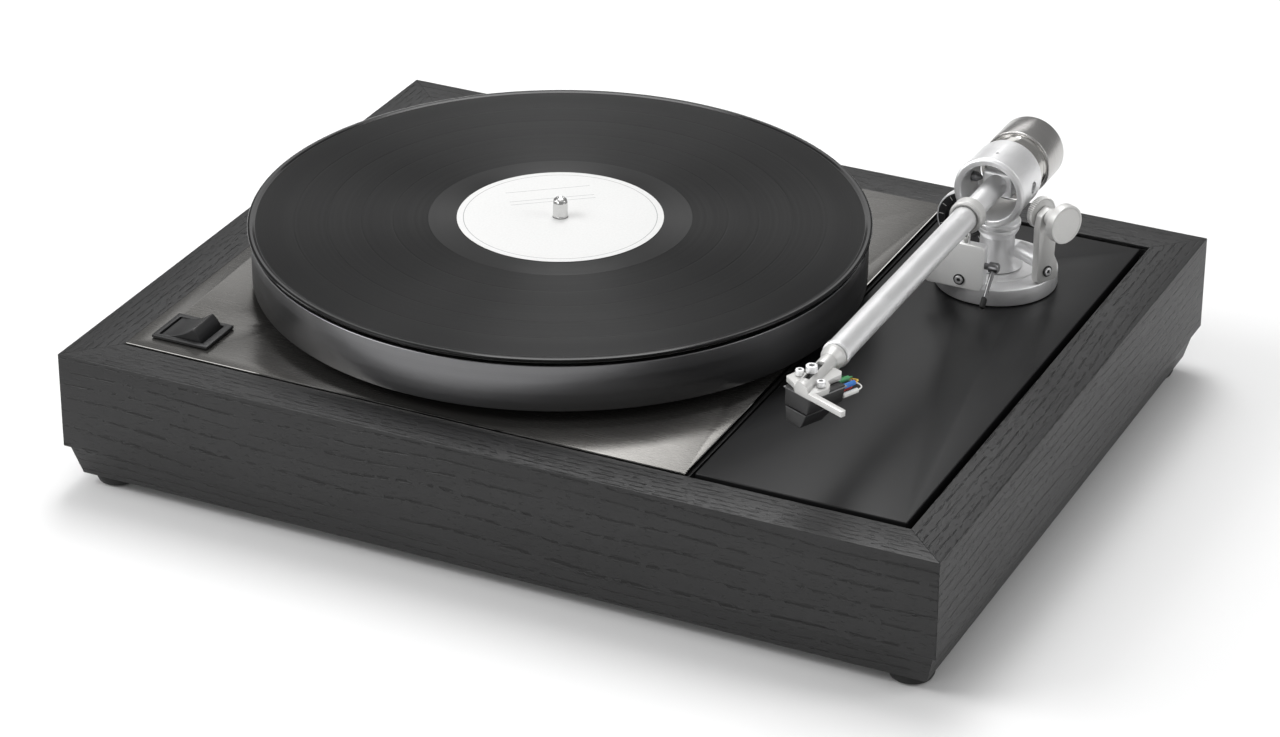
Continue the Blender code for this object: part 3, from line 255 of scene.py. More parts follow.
def rod(at, low, high, radius):
    """An upright cylinder for cutting, a little longer than the plate it cuts."""
    return turned(band(0, radius, high + MM, low - MM), (at.x, at.y, 0), sides=64, rounding=0)


def wire(points, radius, sides, radius_end=None):
    return loose(pipe(bmesh.new(), points, radius, sides, radius_end))


def settle(obj):
    """Replace an object's mesh by what its modifiers make of it."""
    graph = bpy.context.evaluated_depsgraph_get()
    graph.update()
    mesh = bpy.data.meshes.new_from_object(obj.evaluated_get(graph))
    obj.modifiers.clear()
    old = obj.data
    obj.data = mesh
    bpy.data.meshes.remove(old)
    return obj


def boolean(obj, others, operation):
    for other in others:
        made = obj.modifiers.new("shape", "BOOLEAN")
        made.operation = operation
        made.solver = "EXACT"
        made.object = other
    settle(obj)
    for other in others:
        bpy.data.objects.remove(other, do_unlink=True)
    return obj


def carve(obj, *cutters):
    return boolean(obj, cutters, "DIFFERENCE")


def fuse(obj, *others):
    return boolean(obj, others, "UNION")


def soften(obj, width, segments=3, angle=30):
    """Round the edges to a width in millimetres."""
    made = obj.modifiers.new("painted_highlight", "BEVEL")
    made.width = width * MM
    made.segments = segments
    made.limit_method = "ANGLE"
    made.angle_limit = radians(angle)
    return settle(obj)


def piece(obj, name, paint, node=None, body=None, smooth=32, rides=True):
    """Name an object, paint it and let it stand for a CAD node on its body."""
    obj.name = name
    obj.data.name = name
    obj.data.materials.clear()
    obj.data.materials.append(PAINTS[paint])
    obj.data.shade_smooth()
    obj.data.set_sharp_from_angle(angle=radians(smooth))
    if rides:
        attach(obj, body or frame["nodes"][node]["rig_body"])
    if node:
        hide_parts(node)


# ---- materials

PAINTS = {}


def add(tree, kind, inputs=None, **settings):
    """A node with its settings, and its inputs set to values or linked to outputs."""
    made = tree.nodes.new(kind)
    for key, value in settings.items():
        setattr(made, key, value)
    for key, value in (inputs or {}).items():
        if isinstance(value, bpy.types.NodeSocket):
            tree.links.new(value, made.inputs[key])
        else:
            made.inputs[key].default_value = value
    return made


def paint(name, slot=None, **constants):
    """A new material and its Principled shader, whose constant sockets are set here."""
    made = bpy.data.materials.new(name)
    made.use_nodes = True
    made["slot"] = slot or name
    shader = made.node_tree.nodes["Principled BSDF"]
    for key, value in constants.items():
        shader.inputs[key.replace("_", " ")].default_value = value
    PAINTS[name] = made
    return made.node_tree, shader


def coords(tree, scale=(1, 1, 1), rotation=(0, 0, 0), location=(0, 0, 0)):
    """The object's own coordinates, which are the model's at rest, scaled and turned."""
    source = add(tree, "ShaderNodeTexCoord").outputs["Object"]
    inputs = {"Vector": source, "Scale": scale, "Rotation": rotation, "Location": location}
    return add(tree, "ShaderNodeMapping", inputs).outputs["Vector"]


def noise(tree, scale, detail=2.0, rough=0.5, vector=None):
    """Noise over a vector, or over the object's own coordinates if none is given."""
    inputs = {"Vector": vector or coords(tree), "Scale": scale, "Detail": detail, "Roughness": rough}
    return add(tree, "ShaderNodeTexNoise", inputs).outputs["Fac"]


def ramp(tree, fac, *stops):
    """A colour ramp; each stop is (position, grey or colour)."""
    made = add(tree, "ShaderNodeValToRGB", {"Fac": fac})
    ends = made.color_ramp.elements
    while len(ends) < len(stops):
        ends.new(0.5)
    for end, (position, color) in zip(ends, stops):
        end.position = position
        if not isinstance(color, tuple):
            color = (color, color, color)
        end.color = (*color, 1)
    return made.outputs["Color"]


def spread(tree, fac, low, high, from_low=0.3, from_high=0.7):
    """Map a range, the middle of a noise if none is given, to a range from low to high."""
    inputs = {"Value": fac, "From Min": from_low, "From Max": from_high, "To Min": low, "To Max": high}
    return add(tree, "ShaderNodeMapRange", inputs).outputs["Result"]


def calc(tree, operation, *values):
    """The result of a Math node on values or outputs."""
    return add(tree, "ShaderNodeMath", dict(enumerate(values)), operation=operation).outputs[0]


def times(tree, a, b):
    return calc(tree, "MULTIPLY", a, b)


def split(tree, vector):
    """The x, y and z of a vector."""
    return add(tree, "ShaderNodeSeparateXYZ", {"Vector": vector}).outputs


def blended(tree, factor, a, b, data_type="RGBA"):
    """The result of a Mix node: a where the factor is 0, b where it is 1."""
    inputs = {"Factor": factor, "A": a, "B": b}
    return add(tree, "ShaderNodeMix", inputs, data_type=data_type).outputs["Result"]


def bump(shader, height, distance, strength, under=None):
    """A fine relief, on top of another one if that is given."""
    inputs = {"Height": height, "Distance": distance, "Strength": strength}
    if under is not None:
        inputs["Normal"] = under
    normal = add(shader.id_data, "ShaderNodeBump", inputs).outputs["Normal"]
    link(normal, shader, "Normal")
    return normal


def link(output, shader, key):
    shader.id_data.links.new(output, shader.inputs[key])


def tint(shader, color):
    link(color, shader, "Base Color")


def gloss(shader, value):
    link(value, shader, "Roughness")


def mottle(shader, fac, color, contrast, low=0.3, high=0.7):
    """Vary the base colour by the contrast either way, over the middle of a noise."""
    dark = tuple(c * (1 - contrast) for c in color)
    light = tuple(c * (1 + contrast) for c in color)
    tint(shader, ramp(shader.id_data, fac, (low, dark), (high, light)))


def comb_round(shader, axis):
    """Turn the stretched highlights round an axis, as on turned metal."""
    settings = {"direction_type": "RADIAL", "axis": "XYZ"[axis]}
    link(add(shader.id_data, "ShaderNodeTangent", **settings).outputs[0], shader, "Tangent")


def radial(tree, origin, axis):
    """(distance from a line, height along it) as a vector, for turned finishes."""
    parts = split(tree, coords(tree, location=tuple(-c for c in origin)))
    others = [parts[k] for k in range(3) if k != axis]
    flat = add(tree, "ShaderNodeCombineXYZ", {0: others[0], 1: others[1]}).outputs[0]
    reach = add(tree, "ShaderNodeVectorMath", {0: flat}, operation="LENGTH").outputs["Value"]
    both = add(tree, "ShaderNodeCombineXYZ", {0: reach, 1: parts[axis]}).outputs[0]
    return reach, both


def grained(tree, axis, across, along, detail, rough=0.5):
    """Noise with one scale across the grain and a lower one along it."""
    scale = [across] * 3
    scale[axis] = along
    return noise(tree, 1.0, detail, rough, coords(tree, scale))


RINGS_PER_METRE = 320.0
PORE_ROWS = 620.0
PORE_LENGTHS = 175.0


def wood_paint(name, axis, heart):
    """Black-stained open-pored ash: rows of short pores on rings round a heart beside the board."""
    tree, shader = paint(name, "black_ash", Specular_IOR_Level=0.38)
    reach, _ = radial(tree, heart, axis)
    wander = grained(tree, axis, 12.0, 3.0, 3.0, 0.55)
    rings = calc(tree, "MULTIPLY_ADD", reach, RINGS_PER_METRE, times(tree, wander, 4.2))
    phase = calc(tree, "FRACT", rings)
    early = ramp(tree, phase, (0.0, 0.0), (0.05, 1.0), (0.14, 0.9), (0.22, 0.1), (1.0, 0.0))
    dashes = grained(tree, axis, PORE_ROWS, PORE_LENGTHS, 1.0)
    patches = grained(tree, axis, 90.0, 16.0, 2.0, 0.6)
    rows = times(tree, early, ramp(tree, patches, (0.36, 0.45), (0.52, 1.0)))
    specks = grained(tree, axis, 1500.0, 210.0, 1.0)
    strays = ramp(tree, specks, (0.64, 0.0), (0.7, 0.5))
    pores = calc(tree, "MULTIPLY_ADD", rows, ramp(tree, dashes, (0.46, 0.0), (0.5, 1.0)), strays)
    fibre = grained(tree, axis, 2400.0, 40.0, 3.0, 0.65)
    cloud = grained(tree, axis, 60.0, 12.0, 2.0)
    both = calc(tree, "MULTIPLY_ADD", fibre, 0.5, times(tree, cloud, 0.5))
    body = ramp(tree, both, (0.35, (0.014, 0.014, 0.0143)), (0.65, (0.022, 0.022, 0.0224)))
    tint(shader, blended(tree, pores, body, (0.0006, 0.0006, 0.0006, 1)))
    gloss(shader, spread(tree, fibre, 0.36, 0.52))
    first = bump(shader, fibre, 0.00012, 0.4)
    bump(shader, calc(tree, "SUBTRACT", 1.0, pores), 0.0004, 0.9, under=first)


def brushed_paint(name, color, axis, rough, lines, contrast=0.1, metallic=1.0):
    """Straight brushed metal, with its lines along one axis."""
    tree, shader = paint(name, Metallic=metallic)
    fine = grained(tree, axis, lines, lines / 140, 3.0, 0.7)
    broad = noise(tree, 9.0, 2.0)
    mottle(shader, fine, color, contrast, 0.25, 0.75)
    gloss(shader, spread(tree, times(tree, fine, broad), rough - 0.05, rough + 0.07, 0.15, 0.4))
    bump(shader, fine, 0.000015, 0.5)


def turned_paint(name, color, origin, axis, rough, lines, contrast, anisotropy):
    """Turned metal: fine rings round an axis through the origin."""
    tree, shader = paint(name, Metallic=1.0, Anisotropic=anisotropy)
    _, both = radial(tree, origin, axis)
    fine = noise(tree, lines, 3.0, 0.7, vector=both)
    coarse = noise(tree, lines / 9, 1.0, vector=both)
    mottle(shader, fine, color, contrast, 0.25, 0.75)
    gloss(shader, spread(tree, coarse, rough - 0.03, rough + 0.05))
    bump(shader, fine, 0.000006, 0.5)
    comb_round(shader, axis)


def blasted_paint(name, color, rough, grain=5200.0, contrast=0.05, metallic=1.0, slot=None):
    """Bead-blasted metal or pearl paint: fine sparkle over soft cloudiness."""
    tree, shader = paint(name, slot, Metallic=metallic)
    fine = noise(tree, grain, 2.0, 0.6)
    cloud = noise(tree, 70.0, 3.0)
    mottle(shader, fine, color, contrast)
    gloss(shader, spread(tree, cloud, rough - 0.04, rough + 0.05))
    bump(shader, fine, 0.00003, 0.6)


def moulded_paint(name, color, rough, grain, depth, contrast=0.12, slot=None, **constants):
    """Moulded plastic, rubber or paint with a fine skin."""
    tree, shader = paint(name, slot, **constants)
    fine = noise(tree, grain, 3.0, 0.6)
    cloud = noise(tree, 45.0, 2.0)
    mottle(shader, cloud, color, contrast)
    gloss(shader, spread(tree, fine, rough - 0.05, rough + 0.05))
    bump(shader, fine, depth, 0.6)


GROOVES_FROM = 64 * MM
GROOVES_TO = 145.5 * MM
TRACK_GAPS = (81 * MM, 96 * MM, 112.5 * MM, 128.5 * MM)


def vinyl_paint():
    """Pressed vinyl: groove lines over the recorded band and a glossier run-out and rim."""
    tree, shader = paint("black_vinyl", Anisotropic=0.9, Anisotropic_Rotation=0.25, Specular_IOR_Level=0.27)
    reach, both = radial(tree, HUB, 2)
    bands = noise(tree, 420.0, 3.0, 0.7, vector=both)
    fine = noise(tree, 2300.0, 2.0, 0.8, vector=both)
    recorded = spread(tree, reach, 0.0, 1.0, GROOVES_FROM - 0.3 * MM, GROOVES_FROM)
    tint(shader, ramp(tree, bands, (0.3, (0.002, 0.002, 0.0021)), (0.7, (0.0045, 0.0045, 0.0047))))
    mixed = blended(tree, recorded, 0.36, spread(tree, bands, 0.46, 0.54), "FLOAT")
    rim = calc(tree, "GREATER_THAN", reach, GROOVES_TO + 1.5 * MM)
    gloss(shader, blended(tree, rim, mixed, 0.12, "FLOAT"))
    bump(shader, times(tree, fine, recorded), 0.00003, 0.6)
    comb_round(shader, 2)


LABEL_RING = 46.8 * MM
LABEL_RULES = (17 * MM, 20.5 * MM, 31 * MM)
LABEL_TURN = radians(-38)


def paper_paint():
    """Uncoated label paper with a thin printed ring and three plain rules."""
    tree, shader = paint("label_paper", Specular_IOR_Level=0.3)
    fibre = noise(tree, 900.0, 4.0, 0.7)
    white = ramp(tree, fibre, (0.3, (0.66, 0.66, 0.655)), (0.7, (0.72, 0.72, 0.715)))
    reach, _ = radial(tree, HUB, 2)
    ink = line_mask(tree, reach, LABEL_RING, 0.16 * MM)
    parts = split(tree, coords(tree, rotation=(0, 0, LABEL_TURN)))
    turned_hub = Matrix.Rotation(LABEL_TURN, 4, "Z") @ HUB
    short = line_mask(tree, parts[0], turned_hub.x, 21 * MM)
    for rule in LABEL_RULES:
        line = times(tree, line_mask(tree, parts[1], turned_hub.y + rule, 0.14 * MM), short)
        ink = calc(tree, "MAXIMUM", ink, line)
    tint(shader, blended(tree, times(tree, ink, 0.8), white, (0.2, 0.2, 0.21, 1)))
    gloss(shader, spread(tree, fibre, 0.6, 0.75))
    bump(shader, fibre, 0.00003, 0.5)


def line_mask(tree, value, middle, half_width):
    """1 within half_width of the middle, else 0."""
    return calc(tree, "COMPARE", value, middle, half_width)


def board_paint():
    """Green circuit board with paler tracks."""
    tree, shader = paint("circuit_board", Specular_IOR_Level=0.5)
    inputs = {"Vector": coords(tree), "Scale": 260.0}
    cells = add(tree, "ShaderNodeTexVoronoi", inputs, feature="DISTANCE_TO_EDGE").outputs["Distance"]
    tint(shader, ramp(tree, cells, (0.02, (0.05, 0.28, 0.1)), (0.08, (0.012, 0.1, 0.035))))
    gloss(shader, spread(tree, cells, 0.3, 0.45, 0.0, 0.3))
    bump(shader, cells, 0.00008, 0.4)


def make_paints():
    wood_paint("black_ash_x", 0, (0, 0.06, -0.05))
    wood_paint("black_ash_y", 1, (0.07, 0, -0.06))
    brushed_paint("brushed_steel", (0.15, 0.146, 0.139), 0, 0.24, 3400.0, 0.08, metallic=0.85)
    brushed_paint("spring_steel", (0.4, 0.4, 0.41), 2, 0.3, 3000.0)
    black = (0.009, 0.009, 0.0094)
    moulded_paint("satin_black", black, 0.36, 5200.0, 0.000004, 0.08, Specular_IOR_Level=0.2)
    moulded_paint("black_plastic", (0.011, 0.011, 0.0115), 0.4, 2600.0, 0.00003)
    moulded_paint("black_painted_steel", (0.013, 0.013, 0.013), 0.5, 1500.0, 0.00005, 0.2)
    dull = (0.012, 0.012, 0.012)
    moulded_paint("black_rubber", dull, 0.7, 2600.0, 0.0001, 0.25)
    sheen = {"Sheen_Weight": 0.3, "Sheen_Roughness": 0.5}
    moulded_paint("black_felt", dull, 0.93, 3800.0, 0.0004, 0.5, **sheen)
    vinyl_paint()
    paper_paint()
    board_paint()
    turned_paint("machined_alloy", (0.18, 0.18, 0.184), HUB, 2, 0.34, 2200.0, 0.04, 0.2)
    turned_paint("stainless", (0.50, 0.49, 0.48), ARM_LINE, 1, 0.22, 2600.0, 0.12, 0.6)
    blasted_paint("satin_silver", (0.88, 0.88, 0.885), 0.41, metallic=0.8)
    blasted_paint("pale_silver", (0.86, 0.86, 0.85), 0.42, metallic=0.3, slot="satin_silver")
    blasted_paint("pearl_silver", (0.60, 0.597, 0.585), 0.42, 3600.0, 0.05, metallic=0.4)
    # Polished metal of the weight's neck, also used for the painted highlight strips along the top plate's
    # edges.
    blasted_paint("polished_neck_and_edge_highlight", (0.55, 0.54, 0.52), 0.12, 900.0, 0.03, slot="stainless")
    blasted_paint("dark_steel", (0.23, 0.23, 0.235), 0.3, 1500.0, 0.06, slot="bright_steel")
    blasted_paint("bright_steel", (0.66, 0.66, 0.655), 0.14, 1500.0, 0.04)
    blasted_paint("brass", (0.72, 0.52, 0.22), 0.26, 2200.0, 0.08)
    for name, color in LEAD_COLORS.items():
        moulded_paint(f"lead_{name}", color, 0.4, 2600.0, 0.00003, 0.1, slot="lead_wires")


LEAD_COLORS = {
    "green": (0.06, 0.30, 0.11),
    "blue": (0.02, 0.16, 0.52),
    "white": (0.72, 0.72, 0.70),
    "red": (0.48, 0.025, 0.02),
    "yellow": (0.62, 0.42, 0.05),
    "black": (0.02, 0.02, 0.02),
}


def lathe(name, paint, node, *settings, smooth=32, **named):
    """A turned piece for a CAD node. After the node comes what turn takes after its shape."""
    piece(turned(*settings, **named), name, paint, node, smooth=smooth)


# ---- plinth and deck


def make_rails():
    """Four rails with mitred ends, a shadow step and a tapered skirt."""
    wall_low = DECK - 49 * MM
    outline = [(0, DECK), (0, wall_low), (2 * MM, wall_low), (6.2 * MM, PLINTH_LOW)]
    outline += [(RAIL_T, PLINTH_LOW), (RAIL_T, DECK)]
    section = fillet(outline, 0.5 * MM)
    joint_gap = 0.1 * MM
    for quarter, name in enumerate(("front", "right", "back", "left")):
        along, across, grain = HALF_X, HALF_Y, "black_ash_x"
        if name in ("left", "right"):
            along, across, grain = HALF_Y, HALF_X, "black_ash_y"
        shape = bmesh.new()
        spin = Matrix.Rotation(quarter * pi / 2, 4, "Z")
        ends = []
        for side in (-1, 1):
            line = []
            for inset, z in section:
                point = Vector((side * (along - inset - joint_gap), inset - across, z))
                line.append(shape.verts.new(spin @ point))
            ends.append(line)
        rail = loose(loft(shape, ends))
        if name == "back":
            low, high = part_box("rear_panel")
            margin = 0.3 * MM
            window_low = (low.x - margin, HALF_Y - 0.04, low.z - margin)
            window_high = (high.x + margin, HALF_Y + 0.01, high.z + margin)
            carve(rail, box(window_low, window_high))
        piece(rail, f"rail_{name}", grain, f"plinth_{name}_rail")


def make_feet():
    profile = [(0, 5.7), (10.5, 5.7), (10.5, 2.6), (9.7, 0.9), (8.1, 0.02), (5, 0.02), (4.4, 0.6), (0, 0.6)]
    for side in ("left", "right"):
        for end in ("front", "rear"):
            node = f"foot_{end}_{side}"
            at = centre(node)
            lathe(f"{node}_rubber", "black_rubber", node, mm(profile), (at.x, at.y, 0), UP, 64)


def make_top_plate():
    low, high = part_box("top_plate")
    switch_low, switch_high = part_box("switch_housing")
    opening_low = switch_low.xy + Vector((1.3, 1.3)) * MM
    opening_high = switch_high.xy - Vector((4.6, 1.3)) * MM
    holes = [
        rod(HUB, low.z, high.z, 21 * MM),
        rod(centre("motor_pulley"), low.z, high.z, 8 * MM),
        box((*opening_low, low.z - MM), (*opening_high, high.z + MM)),
    ]
    for spot in SPOTS:
        holes.append(rod(centre(f"suspension_bolt_{spot}"), low.z, high.z, 2.9 * MM))
    plate = carve(box(low, high), *holes)
    piece(soften(plate, 0.3), "top_plate_sheet", "brushed_steel", "top_plate")
    # Thin strips of brighter, glossier metal along the front and right edges are a painted highlight, where
    # the plate's edge catches the light.
    trim = 0.5 * MM
    proud = high.z + 0.04 * MM
    for name, start, end in (
        ("front", (low.x + trim, low.y), (high.x - trim, low.y + trim)),
        ("side", (high.x - trim, low.y + trim), (high.x, high.y - trim)),
    ):
        painted_highlight = box((*start, low.z + trim), (*end, proud))
        piece(painted_highlight, f"top_plate_{name}_edge", "polished_neck_and_edge_highlight", "top_plate")


def make_armboard():
    low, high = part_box("armboard")
    board = carve(box(low, high), rod(PIVOT, low.z, high.z, 14 * MM))
    piece(soften(board, 0.6), "armboard_panel", "satin_black", "armboard")


def box_about(at, half_x, half_y, low, high):
    """A loose box centred on a place in plan, between two heights."""
    return box((at.x - half_x, at.y - half_y, low), (at.x + half_x, at.y + half_y, high))


def make_switch():
    low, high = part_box("switch_housing")
    axis = joint_at("power_rocker")
    radius, half = 11.5 * MM, 9.5 * MM
    wall, gap = 1.3 * MM, 0.35 * MM
    bezel = box((low.x, low.y, DECK + 0.9 * MM), high)
    lower = box_about(axis, radius + wall, half + wall, low.z, DECK + 1.5 * MM)
    well = box_about(axis, radius + gap, half + gap, low.z + 3 * MM, high.z + 5 * MM)
    carve(fuse(bezel, lower), well)
    piece(soften(bezel, 0.45), "switch_bezel", "black_plastic", "switch_housing")
    chord, height, sag = 9.14 * MM, 6.94 * MM, 1.6 * MM
    dish_steps, round_steps = 14, 40
    outline = []
    for i in range(dish_steps + 1):
        t = -1 + 2 * i / dish_steps
        outline.append((chord * t, height - sag * (1 - t * t)))
    start = atan2(height, chord)
    sweep = pi + 2 * start
    for i in range(1, round_steps):
        a = start - sweep * i / round_steps
        outline.append((radius * cos(a), radius * sin(a)))
    tilt = Matrix.Rotation(radians(-19.8), 4, "Y") @ Matrix.Rotation(radians(90), 4, "X")
    rocker = sheet(outline, -half, half, Matrix.Translation(axis) @ tilt)
    piece(soften(rocker, 0.5), "switch_paddle", "black_plastic", "switch_rocker")


# ---- turntable


def make_platter():
    low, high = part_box("outer_platter")
    radius = (high.x - low.x) / 2
    bore, wall, lip = 16 * MM, 130 * MM, radius - 1.3 * MM
    face = high.z - 0.05 * MM
    hub_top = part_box("inner_platter")[1].z + 0.3 * MM
    profile = [(bore, face), (lip, face), (lip, high.z), (radius, high.z)]
    profile += [(radius, low.z), (wall, low.z), (wall, hub_top), (bore, hub_top)]
    lathe("platter_rim", "machined_alloy", "outer_platter", profile, HUB, UP, 256, 0.8)
    flat = washer("platter_mat", 5.6 * MM)
    lathe("mat_felt", "black_felt", "platter_mat", flat, HUB, UP, 192, 0.8)


def make_record():
    """The disc with its raised rim, track gaps, run-out and centre hole."""
    low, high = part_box("record")
    outer = (high.x - low.x) / 2
    bore = 3.7 * MM
    top = high.z - 0.5 * MM
    dip = 0.09 * MM
    profile = [(bore, top), (GROOVES_FROM - 12.5 * MM, top), (GROOVES_FROM - 12 * MM, top + 0.1 * MM)]
    profile += [(GROOVES_FROM - 0.3 * MM, top + 0.1 * MM), (GROOVES_FROM, top)]
    for gap in TRACK_GAPS:
        for offset, depth in ((-0.5, 0), (-0.25, dip), (0.25, dip), (0.5, 0)):
            profile.append((gap + offset * MM, top - depth))
    profile += [(GROOVES_TO, top), (GROOVES_TO + 0.6 * MM, top - dip), (GROOVES_TO + 1.7 * MM, top)]
    profile += [(outer - 2.4 * MM, high.z - 0.08 * MM), (outer - 1.2 * MM, high.z)]
    profile += [(outer - 0.3 * MM, high.z - 0.3 * MM), (outer, (low.z + high.z) / 2)]
    profile += [(outer - 0.5 * MM, low.z), (bore, low.z)]
    lathe("record_disc", "black_vinyl", "record", profile, HUB, UP, 288, 0.25, smooth=24)
    flat = washer("record_label", 3.8 * MM)
    lathe("label_disc", "label_paper", "record_label", flat, HUB, UP, 192, 0.04)


def make_spindle():
    low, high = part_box("spindle")
    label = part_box("record_label")[1].z
    hub_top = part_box("inner_platter")[1].z
    profile = above(high.z, (0, -0.9), (0.9, -0.6), (1.3, 0), (2.3, -0.35), (3.2, -1.1), (3.6, -2.4))
    profile += above(label, (3.6, 0.9), (3.75, 0.5), (3.6, 0))
    profile += above(hub_top, (3.6, 3), (5, 1.6))
    profile += above(low.z, (5, 3.6), (1.5, 0), (0, 0))
    lathe("spindle_pin", "bright_steel", "spindle", profile, HUB, UP, 64, 0.5)


# ---- arm base


def make_arm_base():
    low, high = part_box("arm_pillar")
    base_top = low.z - 0.3 * MM
    profile = above(base_top, (0, 0), (19.6, 0), (19.9, -0.35), (20.3, -0.35), (20.6, 0), (30, 0))
    profile += above(DECK, (30, 0.3), (13.4, 0.3), (13.4, -13), (0, -13))
    lathe("arm_base_disc", "satin_silver", "arm_base", profile, BASE_AXIS, UP, 160, 0.9)
    x, y, z = joint_at("bias_dial")
    bracket = box((x - MM, y + 2.8 * MM, base_top - MM), (x + 7 * MM, y + 6 * MM, z + 4 * MM))
    piece(soften(bracket, 0.8), "dial_bracket", "satin_silver", "arm_base")
    neck = []
    steps = 12
    span = high.z - base_top - 5.2 * MM
    for i in range(steps + 1):
        t = i / steps
        neck.append((8.2 * MM + 4.8 * MM * (1 - t) ** 3 + 0.3 * MM * t, low.z + span * t))
    profile = above(high.z, (0, 0), (10.4, 0), (10.4, -1.8)) + neck[::-1] + [(0, low.z)]
    lathe("pillar_column", "satin_silver", "arm_pillar", profile, BASE_AXIS, rounding=0.5)


SIDE_ANGLE = radians(27)
SIDE_OUTWARD = Vector((cos(SIDE_ANGLE), -sin(SIDE_ANGLE), 0))
SIDE_ALONG = Vector((sin(SIDE_ANGLE), cos(SIDE_ANGLE), 0))
SIDE_REACH = 28 * MM


def side_point(out, z):
    """A point on the side bracket's centre line."""
    return BASE_AXIS + SIDE_OUTWARD * out + SIDE_ALONG * 5.4 * MM + UP * z


def make_side_bracket():
    outline = [(-6.2, 0), (6.4, 0), (6.8, 4), (6.4, 9), (4.4, 13), (4.9, 20)]
    outline += [(6.4, 29), (5.2, 36), (0, 39), (-5.2, 36), (-6.4, 29), (-6.2, 19)]
    outline = above(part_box("side_bracket")[0].z - DECK, *outline)
    at = side_point(SIDE_REACH, DECK)
    place = Matrix.Translation(at) @ Matrix((SIDE_ALONG, UP, SIDE_OUTWARD)).transposed().to_4x4()
    bracket = sheet(outline, -2 * MM, 2 * MM, place, rounding=2.6)
    axis = joint_at("thumbscrew")
    hole_at = at + UP * (axis.z - DECK)
    carve(bracket, turned(band(0, 3.3 * MM, 6 * MM, -6 * MM), hole_at, SIDE_OUTWARD, 48, 0))
    piece(soften(bracket, 0.45), "bracket_plate", "pearl_silver", "side_bracket")
    start = side_point(10.5 * MM, DECK + 19 * MM)
    reach = SIDE_REACH - 12.6 * MM
    profile = [(0, reach), (5.1 * MM, reach), (4.5 * MM, reach - 1.6 * MM), (4.5 * MM, 0), (0, 0)]
    lathe("bracket_stay", "satin_silver", "side_bracket", profile, start, SIDE_OUTWARD, 48)
    screw_at = side_point(SIDE_REACH + 2.1 * MM, DECK + 15 * MM)
    make_screw("side_bracket_screw", screw_at, SIDE_OUTWARD, 2.8 * MM, 1.1 * MM, rim=0.75 * MM)
    thumb = [(0, 19.7), (8.3, 19.7), (8.7, 20), (9.7, 20), (9.7, 15.4), (4.4, 15.4)]
    thumb += [(4.4, 8.4), (3, 8.4), (3, 3.6), (6.9, 3.6), (6.9, 0), (0, 0)]
    lathe("thumbscrew_body", "pearl_silver", "bias_thumbscrew", mm(thumb), axis, SIDE_OUTWARD, 96, 0.5)
    knurl = mm(band(6.8, 7.9, 3.5, 0.1))
    ripple = (48, 0.45 * MM, 7 * MM)
    lathe("thumbscrew_knurl", "pearl_silver", "bias_thumbscrew", knurl, axis, SIDE_OUTWARD, 288, 0.35, ripple)


def make_screw(node, at, facing, radius, height, rim=0.0):
    """A cap screw with a hexagon socket, whose floor is a black disc of painted shade, and, if it has a rim,
    a black ring of painted shade round its head where the recess in the plate would be dark.
    """
    at, facing = Vector(at), Vector(facing).normalized()
    outer = radius - rim
    floor = height * 0.25
    head = turned(band(0, outer, height, 0.02 * MM), at, facing, 48, 0.35)
    carve(head, turned(band(0, outer * 0.55, height + MM, floor), at, facing, 6, 0))
    piece(head, f"{node}_head", "satin_silver", node)
    # A black hexagon at the socket's floor: painted shade.
    hexagon = band(0, outer * 0.53, floor + 0.25 * MM, floor)
    lathe(f"{node}_socket_shade", "black_plastic", node, hexagon, at, facing, 6, 0)
    if rim:
        # A black ring round the head: painted shade where the recess in the plate is dark.
        recess_shade = band(outer + 0.1 * MM, radius, 0.5 * height)
        lathe(f"{node}_recess", "black_plastic", node, recess_shade, at, facing, 48, 0.15)


def make_lift():
    low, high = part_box("lift_block")
    piece(soften(box(low, high), 0.9), "lift_body", "satin_silver", "lift_block")
    near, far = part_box("lift_plate")
    outline = [(121, 0), (148.6, 0), (149.6, 2.6), (150, 21.6), (148.6, 23.6), (134, 23.6), (120.6, 2.6)]
    outline = above(low.z - 0.6 * MM, *outline)
    stand = Matrix.Translation((0, far.y, 0)) @ Matrix.Rotation(radians(90), 4, "X")
    face = sheet(outline, 0, far.y - near.y, stand, rounding=1.8)
    piece(soften(face, 0.35), "lift_face", "pale_silver", "lift_plate")
    at = centre("lift_plate_screw")
    at.y = near.y - 0.1 * MM
    make_screw("lift_plate_screw", at, -BACKWARD, 2.8 * MM, 1.0 * MM, rim=0.75 * MM)
    make_lift_bar()
    make_lever()


def make_lift_bar():
    low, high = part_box("lift_bar")
    start, end = radians(-8), radians(24)
    ring = []
    steps = 32
    for radius, order in ((25.6 * MM, range(steps + 1)), (28.6 * MM, range(steps, -1, -1))):
        for i in order:
            a = start + (end - start) * i / steps
            ring.append((PIVOT.x - radius * sin(a), PIVOT.y - radius * cos(a)))
    bar = soften(sheet(ring, high.z - 1.8 * MM, high.z), 0.5)
    piece(bar, "lift_arc", "satin_silver", "lift_bar")
    post = Vector((138.5 * MM, 62 * MM, 0))
    profile = band(0, 2 * MM, high.z - 1.6 * MM, low.z)
    lathe("lift_post", "bright_steel", "lift_bar", profile, post, UP, 32)


def make_lever():
    at = joint_at("cue_lever")
    pin = [(0, 7.2), (2.0, 7.2), (2.6, 6.6), (2.6, 2.4), (1.6, 2.4), (1.6, -5), (0, -5)]
    lathe("lever_pin", "dark_steel", "cue_lever", mm(pin), at, (1, 0, 0), 40)
    tip = at + Vector((4.7, -15, -15.6)) * MM
    root = at + Vector((4.7, 0, 0)) * MM
    along = (tip - root).normalized()
    points = [root + along * (i * 17 * MM / 8) for i in range(9)]
    piece(wire(points, 1.35 * MM, 20, 0.85 * MM), "lever_blade", "dark_steel", "cue_lever")
    place = Matrix.Translation(root) @ towards(along)
    paddle = box((-1.1 * MM, -2 * MM, 15.5 * MM), (1.1 * MM, 2 * MM, 21 * MM), place)
    piece(soften(paddle, 0.7), "lever_tip", "black_rubber", "cue_lever")


